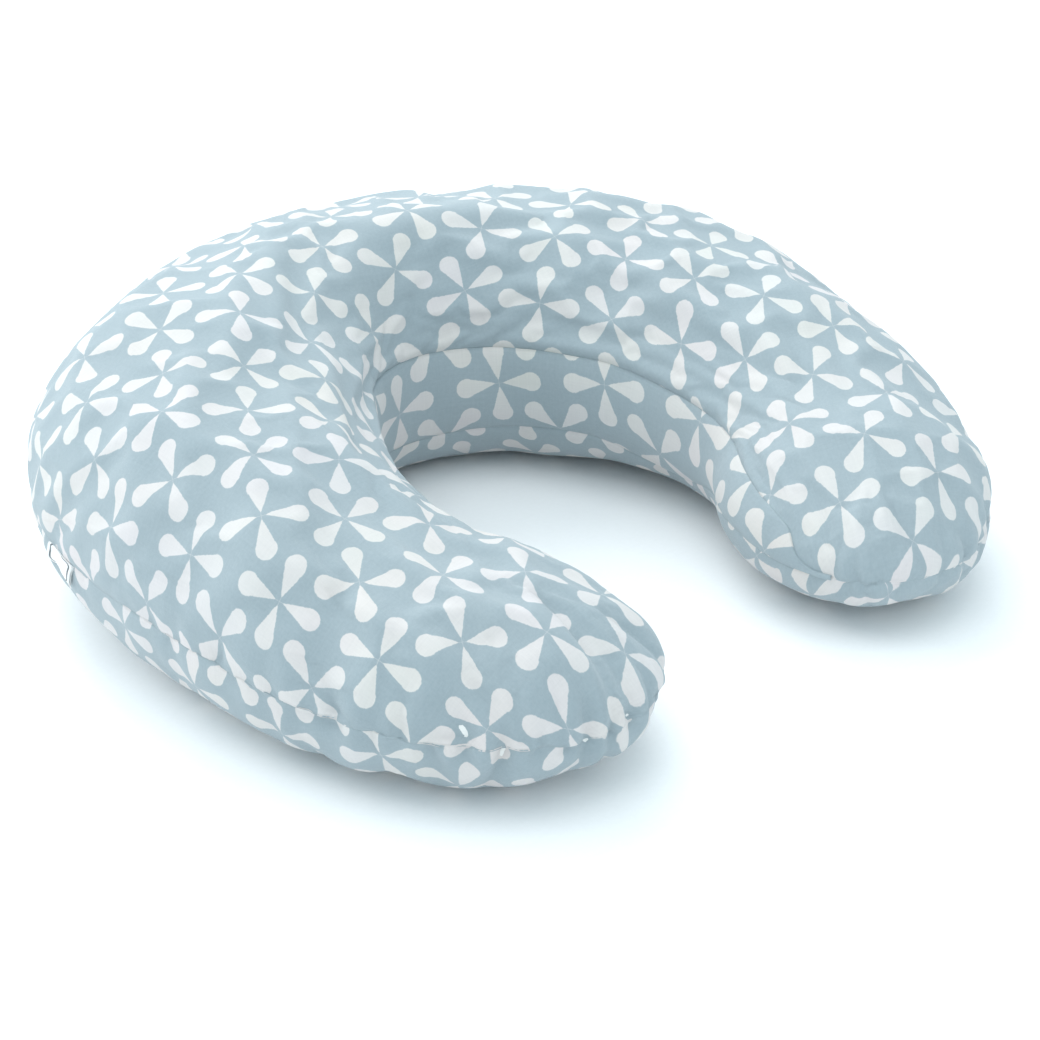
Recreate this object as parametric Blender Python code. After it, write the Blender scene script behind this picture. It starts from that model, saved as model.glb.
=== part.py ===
"""Nursing pillow: a C-shaped stuffed ring in a removable cotton cover.

Metres, +Z up. The arms open towards -Y. The origin is under the middle of the pillow's box, on the surface
that it lies on. Each sub-part is one closed solid.

The pillow is a section swept along a centreline. The back of the centreline is an exact arc, so the zip in
the back of the outer seam runs on a circle, and its slider turns about that circle's centre. A place on the
pillow is given by u, the length along the centreline from the middle of the back, negative on the left arm.
"""

import math
from collections import namedtuple

import bmesh
import bpy
from mathutils import Vector

# Plan of the stuffed ring.
RING_RADIUS = 0.201
ARM_LENGTH = 0.247
ARM_BEND_RADIUS = 0.198
TIP_BEND_RADIUS = 0.190
BEND_CHANGE_LENGTH = 0.060
TIP_LENGTH = 0.111
OUTER_HALF_WIDTH_BACK = 0.117
OUTER_HALF_WIDTH_SHOULDER = 0.1145
OUTER_HALF_WIDTH_ARM = 0.082
INNER_HALF_WIDTH_BACK = 0.073
INNER_HALF_WIDTH_SHOULDER = 0.104
INNER_HALF_WIDTH_ARM = 0.099
HALF_WIDTH_TIP = 0.0875

# Section of the stuffed ring.
HEIGHT_BACK = 0.183
HEIGHT_SHOULDER = 0.171
HEIGHT_ARM = 0.145
HEIGHT_TIP = 0.108
SEAM_HEIGHT_BACK = 0.075
SEAM_HEIGHT_ARM = 0.065
SEAM_HEIGHT_TIP = 0.051
RESTING_HALF_WIDTH = 0.020
TOP_WIDTH_POWER = 0.95
TOP_HEIGHT_POWER = 1.04
TIP_TOP_POWER = 1.15
TIP_BOTTOM_POWER = 1.07
END_SLOPE_SHARE = 0.5

# Gusset between the two panels on the inner wall. Its seams lie at shares of the height above and below
# the outer seam: at the back, where the arm starts, half-way along the arm and at the arm's end.
GUSSET_UPPER_SHARES = (0.24, 0.28, 0.33, 0.51)
GUSSET_LOWER_SHARES = (0.52, 0.42, 0.58, 0.12)
GUSSET_TAPER_LENGTH = 0.030
GUSSET_TIP_REACH = 0.105
GUSSET_END_HEIGHT = 0.002

# Cloth, thread and the gaps between sewn pieces.
COVER_THICKNESS = 0.0010
CASE_THICKNESS = 0.0008
LAYER_GAP = 0.0003
CASE_ROOM = 0.0030
CASE_FLOOR_GAP = 0.0008
FILL_ROOM = 0.0015
SEAM_GAP = 0.0003
THREAD_RADIUS = 0.0003
STITCH_MARGIN = 0.0015
CLOSING_LENGTH = 0.130
CLOSING_GAP = 0.004

# Zip, closed at its right end.
ZIP_LENGTH = 0.430
ZIP_END_MARGIN = 0.107
ZIP_END_CLOSING = 0.010
CLEARANCE = 0.0003
CHAIN_HEIGHT = 0.0019
CHAIN_THICKNESS = 0.0018
CHANNEL_HEIGHT = 0.0014
TAPE_HEIGHT = 0.0040
TAPE_THICKNESS = 0.0005
STOP_LENGTH = 0.0030
STOP_WRAP = 0.0002
BARTACK_WIDTH = 0.0025
BARTACK_THICKNESS = 0.0006
BARTACK_OVERLAP = 0.0014

# Slider and pull tab.
SLIDER_LENGTH = 0.0100
SLIDER_HALF_HEIGHT = 0.0042
SLIDER_PLATE = 0.0012
SLIDER_LIP_HEIGHT = 0.0010
SLIDER_LIP_GAP = 0.0006
BRIDGE_HALF_LENGTH = 0.0036
BRIDGE_WALL = 0.0010
BRIDGE_HEIGHT = 0.0016
TAB_LENGTH = 0.0260
TAB_HALF_HEIGHT = 0.0040
TAB_THICKNESS = 0.0010
TAB_SLOT_HALF_HEIGHT = 0.0014
TAB_SLOT_CLEARANCE = 0.0013

# Labels.
LABEL_THICKNESS = 0.0008
SIDE_LABEL_PLACE = -0.258
SIDE_LABEL_WIDTH = 0.024
SIDE_LABEL_DROP = 0.012
CARE_LABEL_PLACE = 0.175
CARE_LABEL_WIDTH = 0.022
CARE_LABEL_DROP = 0.030

# Fineness of the solids.
STATION_STEP = 0.028
ARC_STEP = math.radians(3.0)
TOP_COLUMNS = 11
BOTTOM_COLUMNS = 4
GUSSET_COLUMNS = 5
CASE_COLUMNS = 8
TIP_STEPS = 6
TIP_END_STEPS = 2

# Worked out from the sizes above.
SEAM_RADIUS = RING_RADIUS + OUTER_HALF_WIDTH_BACK
ZIP_HALF_ANGLE = ZIP_LENGTH / 2 / SEAM_RADIUS
CHAIN_REACH = CHANNEL_HEIGHT / 2 + CHAIN_HEIGHT
TAPE_REACH = CHAIN_REACH + CLEARANCE + TAPE_HEIGHT
SLOT_HALF_HEIGHT = TAPE_REACH + CLEARANCE
SLOT_END = (ZIP_HALF_ANGLE + 2 * CLEARANCE / SEAM_RADIUS) * RING_RADIUS
SLOT_CLOSED = SLOT_END + ZIP_END_CLOSING * RING_RADIUS / SEAM_RADIUS
BACK_END = (ZIP_HALF_ANGLE + ZIP_END_MARGIN / SEAM_RADIUS) * RING_RADIUS
ARM_MIDDLE = BACK_END + ARM_LENGTH / 2
ARM_END = BACK_END + ARM_LENGTH
TIP_END = ARM_END + TIP_LENGTH
GUSSET_END = ARM_END + GUSSET_TIP_REACH
ARM_PLACES = (BACK_END, ARM_MIDDLE, ARM_END)
OUTER_HALF_WIDTHS = (OUTER_HALF_WIDTH_BACK, OUTER_HALF_WIDTH_SHOULDER, OUTER_HALF_WIDTH_ARM, HALF_WIDTH_TIP)
INNER_HALF_WIDTHS = (INNER_HALF_WIDTH_BACK, INNER_HALF_WIDTH_SHOULDER, INNER_HALF_WIDTH_ARM, HALF_WIDTH_TIP)
HEIGHTS = (HEIGHT_BACK, HEIGHT_SHOULDER, HEIGHT_ARM, HEIGHT_TIP)
SEAM_HEIGHTS = (SEAM_HEIGHT_BACK, SEAM_HEIGHT_ARM, SEAM_HEIGHT_TIP)
TAPE_RADIUS = SEAM_RADIUS - COVER_THICKNESS / 2
PLATE_DEPTH = CHAIN_THICKNESS / 2 + CLEARANCE
SLIDER_DEPTH = PLATE_DEPTH + SLIDER_PLATE
BAR_SWING = TAB_THICKNESS / 2 * math.sqrt(2)
PIVOT_DEPTH = SLIDER_DEPTH + CLEARANCE + BAR_SWING
BRIDGE_OPENING = PIVOT_DEPTH + BAR_SWING + CLEARANCE
THREAD_OUTSET = LAYER_GAP + THREAD_RADIUS

# How far a layer lies inside the cover's outer surface: at its sides and top, on the C's outer side, where
# the zip needs room, and underneath, where the layers rest on each other.
Layer = namedtuple("Layer", "side outer floor")
COVER_OUTSIDE = Layer(0.0, 0.0, 0.0)
COVER_INSIDE = Layer(COVER_THICKNESS, COVER_THICKNESS, COVER_THICKNESS)
ZIP_ROOM = SLIDER_DEPTH - COVER_THICKNESS / 2 + CLEARANCE + THREAD_OUTSET + THREAD_RADIUS


def inside(layer, side, outer, floor):
    return Layer(layer.side + side, layer.outer + outer, layer.floor + floor)


CASE_OUTSIDE = inside(COVER_INSIDE, CASE_ROOM, ZIP_ROOM, CASE_FLOOR_GAP)
CASE_INSIDE = inside(CASE_OUTSIDE, CASE_THICKNESS, CASE_THICKNESS, CASE_THICKNESS)
FILL_OUTSIDE = inside(CASE_INSIDE, FILL_ROOM, FILL_ROOM, CASE_FLOOR_GAP)
COVER_THREADS = inside(COVER_OUTSIDE, -THREAD_OUTSET, -THREAD_OUTSET, -THREAD_OUTSET)
CASE_THREADS = inside(CASE_OUTSIDE, -THREAD_OUTSET, -THREAD_OUTSET, -CASE_FLOOR_GAP)


def clear_scene():
    for old in list(bpy.data.objects):
        bpy.data.objects.remove(old, do_unlink=True)


# Materials.


def material(name, colour, roughness, metallic=0.0):
    found = bpy.data.materials.new(name)
    found.use_nodes = True
    shader = found.node_tree.nodes["Principled BSDF"]
    shader.inputs["Base Color"].default_value = (*colour, 1.0)
    shader.inputs["Roughness"].default_value = roughness
    shader.inputs["Metallic"].default_value = metallic
    return found


def printed_cotton():
    return material("printed_cotton", (0.55, 0.68, 0.76), 0.85)


def plain_cotton():
    return material("plain_cotton", (0.90, 0.90, 0.88), 0.88)


def polyester_fibre():
    return material("polyester_fibre", (0.95, 0.95, 0.95), 0.95)


def sewing_thread():
    return material("sewing_thread", (0.50, 0.60, 0.68), 0.60)


def white_thread():
    return material("white_thread", (0.92, 0.92, 0.92), 0.60)


def zip_tape_weave():
    return material("zip_tape_weave", (0.60, 0.71, 0.78), 0.80)


def zip_nylon():
    return material("zip_nylon", (0.66, 0.76, 0.82), 0.35)


def zip_metal():
    return material("zip_metal", (0.72, 0.73, 0.75), 0.28, 1.0)


def label_satin():
    return material("label_satin", (0.95, 0.95, 0.94), 0.45)


# Mesh making.


def finish(name, mesh, look, smooth=True):
    """Makes the node of a finished bmesh, with round surfaces shaded smooth."""
    bmesh.ops.recalc_face_normals(mesh, faces=mesh.faces)
    data = bpy.data.meshes.new(name)
    mesh.to_mesh(data)
    mesh.free()
    if smooth:
        data.shade_smooth()
        data.set_sharp_from_angle(angle=math.radians(40))
    data.materials.append(look)
    node = bpy.data.objects.new(name, data)
    bpy.context.scene.collection.objects.link(node)
    return node


def rows_of(mesh, rows):
    return [[mesh.verts.new(point) for point in row] for row in rows]


def quads_between(mesh, first, second):
    """Faces between two rows. A row of one point is a pole."""
    for k in range(max(len(first), len(second)) - 1):
        corners = [first[min(k, len(first) - 1)], first[min(k + 1, len(first) - 1)]]
        corners += [second[min(k + 1, len(second) - 1)], second[min(k, len(second) - 1)]]
        mesh.faces.new(dict.fromkeys(corners))


def shell(name, outer, inner, look):
    """A sheet with thickness, between two grids of points that share their edges' layout."""
    mesh = bmesh.new()
    grids = [rows_of(mesh, outer), rows_of(mesh, inner)]
    for grid in grids:
        for first, second in zip(grid, grid[1:]):
            quads_between(mesh, first, second)
    for side in (0, -1):
        quads_between(mesh, [row[side] for row in grids[0]], [row[side] for row in grids[1]])
    for end in (0, -1):
        if len(grids[0][end]) > 1:
            quads_between(mesh, grids[0][end], grids[1][end])
    return finish(name, mesh, look)


def loft(name, rings, look, smooth=True):
    """A solid through closed rings of points. A ring of one point is a pole."""
    mesh = bmesh.new()
    grid = rows_of(mesh, rings)
    for first, second in zip(grid, grid[1:]):
        quads_between(mesh, closed_ring(first), closed_ring(second))
    for end in (grid[0], grid[-1]):
        if len(end) > 1:
            mesh.faces.new(end)
    return finish(name, mesh, look, smooth)


def closed_ring(ring):
    return ring + ring[:1] if len(ring) > 1 else ring


def strand(name, points, look):
    """A thread through the given points, with closed ends."""
    curve = bpy.data.curves.new(name, "CURVE")
    curve.dimensions = "3D"
    curve.bevel_depth = THREAD_RADIUS
    curve.bevel_resolution = 0
    curve.use_fill_caps = True
    spline = curve.splines.new("POLY")
    spline.points.add(len(points) - 1)
    for slot, point in zip(spline.points, points):
        slot.co = (*point, 1.0)
    curve.materials.append(look)
    node = bpy.data.objects.new(name, curve)
    bpy.context.scene.collection.objects.link(node)
    return node


# The centreline.


def bend(along):
    """Curvature of the centreline at a length from the middle of the back."""
    if along < BACK_END:
        return 1 / RING_RADIUS
    change_end = BACK_END + BEND_CHANGE_LENGTH
    if along < change_end:
        share = (along - BACK_END) / BEND_CHANGE_LENGTH
        return (1 - share) / RING_RADIUS + share / ARM_BEND_RADIUS
    share = (along - change_end) / (ARM_END - change_end)
    return (1 - share) / ARM_BEND_RADIUS + share / TIP_BEND_RADIUS


def trace_arm(steps=240):
    """The right arm's centreline about the ring's centre, as (x, y, heading) at equal lengths."""
    heading = BACK_END / RING_RADIUS
    x = RING_RADIUS * math.sin(heading)
    y = RING_RADIUS * math.cos(heading)
    trace = [(x, y, heading)]
    length = ARM_LENGTH / steps
    for k in range(steps):
        middle = heading + bend(BACK_END + k * length) * length / 2
        x += math.cos(middle) * length
        y -= math.sin(middle) * length
        heading += bend(BACK_END + (k + 0.5) * length) * length
        trace.append((x, y, heading))
    return trace


ARM_TRACE = trace_arm()


def on_centreline(along):
    """(x, y, heading) on the right half. The heading turns clockwise from +X."""
    if along <= BACK_END:
        heading = along / RING_RADIUS
        return RING_RADIUS * math.sin(heading), RING_RADIUS * math.cos(heading), heading
    place = (along - BACK_END) / ARM_LENGTH * (len(ARM_TRACE) - 1)
    k = min(int(place), len(ARM_TRACE) - 2)
    share = place - k
    return tuple(a + (b - a) * share for a, b in zip(ARM_TRACE[k], ARM_TRACE[k + 1]))


# The section.


def through(along, places, values):
    """A smooth curve through values at places, level before the first and straight past the last."""
    slopes = [0.0]
    for k in range(1, len(places)):
        left = (values[k] - values[k - 1]) / (places[k] - places[k - 1])
        if k == len(places) - 1:
            slopes.append(left * END_SLOPE_SHARE)
            continue
        right = (values[k + 1] - values[k]) / (places[k + 1] - places[k])
        span = places[k + 1] - places[k - 1]
        slopes.append((right * (places[k] - places[k - 1]) + left * (places[k + 1] - places[k])) / span)
    k = 0
    while k < len(places) - 2 and along > places[k + 1]:
        k += 1
    if along > places[-1]:
        return values[-1] + slopes[-1] * (along - places[-1])
    gap = places[k + 1] - places[k]
    t = max(0.0, (along - places[k]) / gap)
    rise = (3 - 2 * t) * t * t
    ease_in = t * (1 - t) ** 2 * gap * slopes[k]
    ease_out = t * t * (t - 1) * gap * slopes[k + 1]
    return values[k] + (values[k + 1] - values[k]) * rise + ease_in + ease_out


def smooth_step(value):
    value = min(1.0, max(0.0, value))
    return (3 - 2 * value) * value * value


class Section:
    """The pillow's section at u in one layer."""

    def __init__(self, u, layer=COVER_OUTSIDE):
        self.side = -1.0 if u < 0 else 1.0
        self.from_middle = abs(u)
        self.along = min(self.from_middle, ARM_END)
        beyond = (self.from_middle - self.along) / TIP_LENGTH
        self.tip = math.sqrt(max(0.0, 1.0 - beyond**2))
        self.x, self.y, self.heading = on_centreline(self.along)
        self.reach = beyond * (TIP_LENGTH - layer.side)
        half_out = through(self.from_middle, (SLOT_CLOSED, *ARM_PLACES), OUTER_HALF_WIDTHS)
        half_in = through(self.from_middle, (0.0, *ARM_PLACES), INNER_HALF_WIDTHS)
        self.half_out = (half_out - layer.outer) * self.tip
        self.half_in = (half_in - layer.side) * self.tip
        height = through(self.from_middle, (0.0, *ARM_PLACES), HEIGHTS)
        self.seam = through(self.from_middle, ARM_PLACES, SEAM_HEIGHTS)
        self.top_seam = self.seam + SEAM_GAP / 2
        self.bottom_seam = self.seam - SEAM_GAP / 2
        self.rise = (height - layer.side - self.top_seam) * self.tip**TIP_TOP_POWER
        self.drop = (self.bottom_seam - layer.floor) * self.tip**TIP_BOTTOM_POWER
        self.flat = RESTING_HALF_WIDTH * self.tip

    def panel_edges(self):
        """Heights of the lower and upper panels' outer edges: apart at the zip, then closed."""
        share = smooth_step((SLOT_CLOSED - self.along) / (SLOT_CLOSED - SLOT_END))
        opening = SEAM_GAP / 2 + (SLOT_HALF_HEIGHT - SEAM_GAP / 2) * share
        return self.seam - opening, self.seam + opening

    def point(self, across, z):
        """The place at a distance across, positive on the outer side, and a height."""
        x = self.x + self.reach * math.cos(self.heading) + across * math.sin(self.heading)
        y = self.y - self.reach * math.sin(self.heading) + across * math.cos(self.heading)
        return Vector((self.side * x, y + RING_CENTRE_Y, z))

    def top(self, angle):
        """A point on the upper surface, from the outer seam at 0 to the inner side at pi."""
        cosine = math.cos(angle)
        half = self.half_out if cosine >= 0 else -self.half_in
        across = half * abs(cosine) ** TOP_WIDTH_POWER
        lift = max(0.0, math.sin(angle)) ** TOP_HEIGHT_POWER
        return self.point(across, self.top_seam + self.rise * lift)

    def bottom(self, angle, side):
        """A point on the lower surface's outer (side 1) or inner (side -1) curve, from the seam down."""
        half = self.half_out if side > 0 else self.half_in
        across = self.flat + (half - self.flat) * math.cos(angle)
        return self.point(side * across, self.bottom_seam - self.drop * math.sin(angle))

    def top_angle(self, z):
        """How far up the upper surface a height lies, as an angle from the seam on that side."""
        lift = min(1.0, max(0.0, (z - self.top_seam) / self.rise)) if self.rise > 0 else 0.0
        return math.asin(lift ** (1 / TOP_HEIGHT_POWER))

    def bottom_angle(self, z):
        fall = min(1.0, max(0.0, (self.bottom_seam - z) / self.drop)) if self.drop > 0 else 0.0
        return math.asin(fall)

    def inner_wall(self, z):
        """The point of the inner wall at a height."""
        if z > self.top_seam:
            return self.top(math.pi - self.top_angle(z))
        if z < self.bottom_seam:
            return self.bottom(self.bottom_angle(z), -1)
        return self.point(-self.half_in, z)

    def gusset_edges(self):
        """Heights of the gusset's lower and upper seams."""
        left = GUSSET_END - self.from_middle
        share = smooth_step(left / GUSSET_TAPER_LENGTH)
        end = GUSSET_END_HEIGHT / 2 if left >= -SEAM_GAP else 0.0
        places = (0.0, *ARM_PLACES)
        above = self.rise * through(self.from_middle, places, GUSSET_UPPER_SHARES)
        below = self.drop * max(0.0, through(self.from_middle, places, GUSSET_LOWER_SHARES))
        upper = self.seam + max(end, above * share)
        lower = self.seam - max(end, below * share)
        return lower, upper


def spread(first, last, steps):
    return [first + (last - first) * k / steps for k in range(steps + 1)]


def stations(start=None, end=None):
    """Values of u from the left tip to the right one, with one at every feature's end."""
    marks = [0.0, SLOT_END, SLOT_CLOSED, BACK_END, ARM_END]
    right = [0.0]
    for low, high in zip(marks, marks[1:]):
        count = max(1, round((high - low) / STATION_STEP))
        right += [low + (high - low) * k / count for k in range(1, count + 1)]
    gusset_end = math.asin(GUSSET_TIP_REACH / TIP_LENGTH)
    angles = spread(0.0, gusset_end, TIP_STEPS)[1:] + spread(gusset_end, math.pi / 2, TIP_END_STEPS)[1:]
    right += [ARM_END + TIP_LENGTH * math.sin(angle) for angle in angles]
    places = [-u for u in reversed(right[1:])] + right
    low = -TIP_END if start is None else start
    high = TIP_END if end is None else end
    return [u for u in places if low - 1e-9 <= u <= high + 1e-9]


def is_tip(u):
    return abs(u) > TIP_END - 1e-9


def ring_centre_y():
    """Where the ring's centre goes for the pillow's box to be centred on the origin."""
    lowest = 0.0
    for k in range(91):
        u = ARM_END + TIP_LENGTH * math.sin(math.radians(k))
        for across in (-1, 0, 1):
            section = Section(u)
            half = section.half_out if across > 0 else section.half_in
            lowest = min(lowest, section.point(across * half, 0.0).y)
    return -(lowest + SEAM_RADIUS) / 2


RING_CENTRE_Y = 0.0
RING_CENTRE_Y = ring_centre_y()


# Cover and inner pillow.


def top_rows(places, layer, columns, cover):
    """The upper surface: whole, or for the cover from the zip's slot to the gusset's upper seam."""
    rows = []
    for u in places:
        section = Section(u, layer)
        if is_tip(u):
            rows.append([section.point(0.0, section.top_seam)])
            continue
        first, last = 0.0, math.pi
        if cover:
            first = section.top_angle(section.panel_edges()[1])
            last -= section.top_angle(section.gusset_edges()[1] + SEAM_GAP / 2)
        rows.append([section.top(angle) for angle in spread(first, last, columns)])
    return rows


def bottom_rows(places, layer, cover):
    """The lower surface: whole, or for the cover from the zip's slot to the gusset's lower seam."""
    rows = []
    floor = math.pi / 2
    for u in places:
        section = Section(u, layer)
        if is_tip(u):
            rows.append([section.point(0.0, section.bottom_seam)])
            continue
        first = last = 0.0
        if cover:
            first = section.bottom_angle(section.panel_edges()[0])
            last = section.bottom_angle(section.gusset_edges()[0] - SEAM_GAP / 2)
        row = [section.bottom(angle, 1) for angle in spread(first, floor, BOTTOM_COLUMNS)]
        rows.append(row + [section.bottom(angle, -1) for angle in spread(floor, last, BOTTOM_COLUMNS)])
    return rows


def gusset_rows(places, layer):
    rows = []
    for u in places:
        section = Section(u, layer)
        lower, upper = section.gusset_edges()
        lower += SEAM_GAP / 2
        upper -= SEAM_GAP / 2
        rows.append([section.inner_wall(z) for z in spread(lower, upper, GUSSET_COLUMNS)])
    return rows


def make_cover(cotton):
    places = stations()
    faces = (COVER_OUTSIDE, COVER_INSIDE)
    shell("cover_top_panel", *[top_rows(places, face, TOP_COLUMNS, True) for face in faces], cotton)
    shell("cover_bottom_panel", *[bottom_rows(places, face, True) for face in faces], cotton)
    places = stations(-GUSSET_END, GUSSET_END)
    shell("cover_inner_gusset", *[gusset_rows(places, face) for face in faces], cotton)


def make_inner_pillow(cotton, fibre):
    places = stations()
    faces = (CASE_OUTSIDE, CASE_INSIDE)
    shell("inner_case_top", *[top_rows(places, face, CASE_COLUMNS, False) for face in faces], cotton)
    shell("inner_case_bottom", *[bottom_rows(places, face, False) for face in faces], cotton)
    rings = []
    top = top_rows(places, FILL_OUTSIDE, CASE_COLUMNS, False)
    for upper, lower in zip(top, bottom_rows(places, FILL_OUTSIDE, False)):
        rings.append([upper[0]] if len(upper) == 1 else upper + lower[::-1])
    loft("fibre_fill", rings, fibre)


# Threads.


def seam_line(places, layer):
    """Points along the outer seam of a layer, up to the tip."""
    points = []
    for u in places:
        section = Section(u, layer)
        across = 0.0 if is_tip(u) else section.half_out
        points.append(section.point(across, section.seam))
    return points


def inner_line(places, height):
    """Points just outside the cover's inner wall, at the height that a section gives."""
    sections = [Section(u, COVER_THREADS) for u in places]
    return [section.inner_wall(height(section)) for section in sections]


def seam_height(section):
    return section.seam


def above_gusset(section):
    return section.gusset_edges()[1] + STITCH_MARGIN


def below_gusset(section):
    return section.gusset_edges()[0] - STITCH_MARGIN


def make_cover_threads(thread):
    for side, name in ((-1, "outer_seam_thread_left"), (1, "outer_seam_thread_right")):
        points = seam_line([side * u for u in stations(SLOT_CLOSED, TIP_END)], COVER_THREADS)
        back = stations(GUSSET_END, TIP_END)[-2::-1]
        points += inner_line([side * u for u in back], seam_height)
        strand(name, points, thread)
    places = stations(-GUSSET_END, GUSSET_END)[1:-1]
    strand("gusset_top_stitch", inner_line(places, above_gusset), thread)
    strand("gusset_bottom_stitch", inner_line(places, below_gusset), thread)


def make_case_threads(thread):
    half = CLOSING_LENGTH / 2
    start = half + CLOSING_GAP
    for side, name in ((-1, "inner_case_thread_left"), (1, "inner_case_thread_right")):
        places = [side * u for u in [start, *stations(start, TIP_END)]]
        strand(name, seam_line(places, CASE_THREADS), thread)
    places = [-half, *stations(-half, half), half]
    strand("inner_case_closing_stitch", seam_line(places, CASE_THREADS), thread)


# Zip. Angles turn clockwise from +Y about the ring's centre.


def turn(length):
    """The angle that a length along the outer seam takes."""
    return length / SEAM_RADIUS


def arc_bar(name, depths, heights, angles, look):
    """A bar of rectangular section bent round the ring. Depths count outwards from the tape's middle."""
    corners = [(depths[0], heights[0]), (depths[1], heights[0])]
    corners += [(depths[1], heights[1]), (depths[0], heights[1])]
    count = max(1, math.ceil((angles[1] - angles[0]) / ARC_STEP))
    rings = []
    for k in range(count + 1):
        angle = angles[0] + (angles[1] - angles[0]) * k / count
        ring = []
        for depth, height in corners:
            radius = TAPE_RADIUS + depth
            x = radius * math.sin(angle)
            y = radius * math.cos(angle) + RING_CENTRE_Y
            ring.append(Vector((x, y, SEAM_HEIGHT_BACK + height)))
        rings.append(ring)
    return loft(name, rings, look, smooth=False)


STOP_END = ZIP_HALF_ANGLE - turn(BARTACK_WIDTH + CLEARANCE)
STOP_START = STOP_END - turn(STOP_LENGTH)
CHAIN_END = STOP_START - turn(CLEARANCE)
SLIDER_CLOSED = STOP_START - turn(CLEARANCE + SLIDER_LENGTH / 2)
SLIDER_OPEN = -SLIDER_CLOSED


def make_zip_halves(tape, nylon, metal):
    thick = CHAIN_THICKNESS / 2
    wrap = thick + STOP_WRAP
    low = CHANNEL_HEIGHT / 2
    for sign, half in ((1, "upper"), (-1, "lower")):
        heights = sorted((sign * low, sign * CHAIN_REACH))
        arc_bar("zip_chain_" + half, (-thick, thick), heights, (-CHAIN_END, CHAIN_END), nylon)
        arc_bar("zip_top_stop_" + half, (-wrap, wrap), heights, (STOP_START, STOP_END), metal)
        heights = sorted((sign * (CHAIN_REACH + CLEARANCE), sign * TAPE_REACH))
        depths = (-TAPE_THICKNESS / 2, TAPE_THICKNESS / 2)
        arc_bar("zip_tape_" + half, depths, heights, (-ZIP_HALF_ANGLE, ZIP_HALF_ANGLE), tape)
    heights = (-CHAIN_REACH, CHAIN_REACH)
    arc_bar("zip_bottom_stop", (-wrap, wrap), heights, (-STOP_END, -STOP_START), metal)


def make_bartacks(thread):
    depth = COVER_THICKNESS / 2 + LAYER_GAP
    reach = SLOT_HALF_HEIGHT + BARTACK_OVERLAP
    for sign, name in ((-1, "zip_bartack_left"), (1, "zip_bartack_right")):
        angles = sorted((sign * ZIP_HALF_ANGLE, sign * (ZIP_HALF_ANGLE - turn(BARTACK_WIDTH))))
        arc_bar(name, (depth, depth + BARTACK_THICKNESS), (-reach, reach), angles, thread)


def extruded(name, outline, half_length, axis, look):
    """An outline in the plane across an axis (0 is X, 2 is Z), made a prism about that plane."""
    rings = []
    for end in (-half_length, half_length):
        ring = []
        for first, second in outline:
            ring.append(Vector((end, second, first)) if axis == 0 else Vector((first, second, end)))
        rings.append(ring)
    return loft(name, rings, look, smooth=False)


def slider_outline():
    """The slider's section, as (height, depth): two lipped plates joined by the web between the chains."""
    web = CHANNEL_HEIGHT / 2 - CLEARANCE
    lip = SLIDER_HALF_HEIGHT - SLIDER_LIP_HEIGHT
    quarter = [(web, PLATE_DEPTH), (lip, PLATE_DEPTH), (lip, SLIDER_LIP_GAP)]
    quarter += [(SLIDER_HALF_HEIGHT, SLIDER_LIP_GAP), (SLIDER_HALF_HEIGHT, SLIDER_DEPTH)]
    outside = quarter + [(-height, depth) for height, depth in reversed(quarter)]
    return outside + [(height, -depth) for height, depth in reversed(outside)]


def bridge_outline():
    """The bridge over the slider, as (place along the zip, depth), with the opening that holds the tab."""
    foot = BRIDGE_HALF_LENGTH
    inner = foot - BRIDGE_WALL
    base = SLIDER_DEPTH - SLIDER_PLATE / 2
    top = BRIDGE_OPENING + BRIDGE_WALL
    outline = [(-foot, base), (-foot, BRIDGE_OPENING), (-inner, top), (inner, top), (foot, BRIDGE_OPENING)]
    outline += [(foot, base), (inner, base), (inner, BRIDGE_OPENING), (-inner, BRIDGE_OPENING), (-inner, base)]
    return outline


def tab_outline(steps=8):
    """The pull tab, as (length from its pivot, height), with a round end."""
    outline = [(-TAB_THICKNESS / 2, -TAB_HALF_HEIGHT)]
    middle = TAB_LENGTH - TAB_HALF_HEIGHT
    for k in range(steps + 1):
        angle = math.pi * k / steps - math.pi / 2
        place = middle + TAB_HALF_HEIGHT * math.cos(angle)
        outline.append((place, TAB_HALF_HEIGHT * math.sin(angle)))
    outline.append((-TAB_THICKNESS / 2, TAB_HALF_HEIGHT))
    return outline


def as_cutter(node):
    node.hide_render = True
    node.display_type = "WIRE"
    return node


def boolean(node, other, operation):
    change = node.modifiers.new(operation.lower(), "BOOLEAN")
    change.operation = operation
    change.object = other
    change.solver = "EXACT"


def make_slider(metal):
    """The slider, with its origin on the ring's axis, about which it travels."""
    slider = extruded("zip_slider_body", slider_outline(), SLIDER_LENGTH / 2, 0, metal)
    rings = [[], []]
    for place, depth in bridge_outline():
        rings[0].append(Vector((place, depth, -BRIDGE_HEIGHT / 2)))
        rings[1].append(Vector((place, depth, BRIDGE_HEIGHT / 2)))
    bridge = as_cutter(loft("bridge_helper", rings, metal, smooth=False))
    for part in (slider, bridge):
        for vertex in part.data.vertices:
            vertex.co.y += TAPE_RADIUS
    boolean(slider, bridge, "UNION")
    bridge.parent = slider
    slider.location = (0.0, RING_CENTRE_Y, SEAM_HEIGHT_BACK)
    slider.rotation_euler = (0.0, 0.0, -SLIDER_CLOSED)
    return slider


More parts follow.
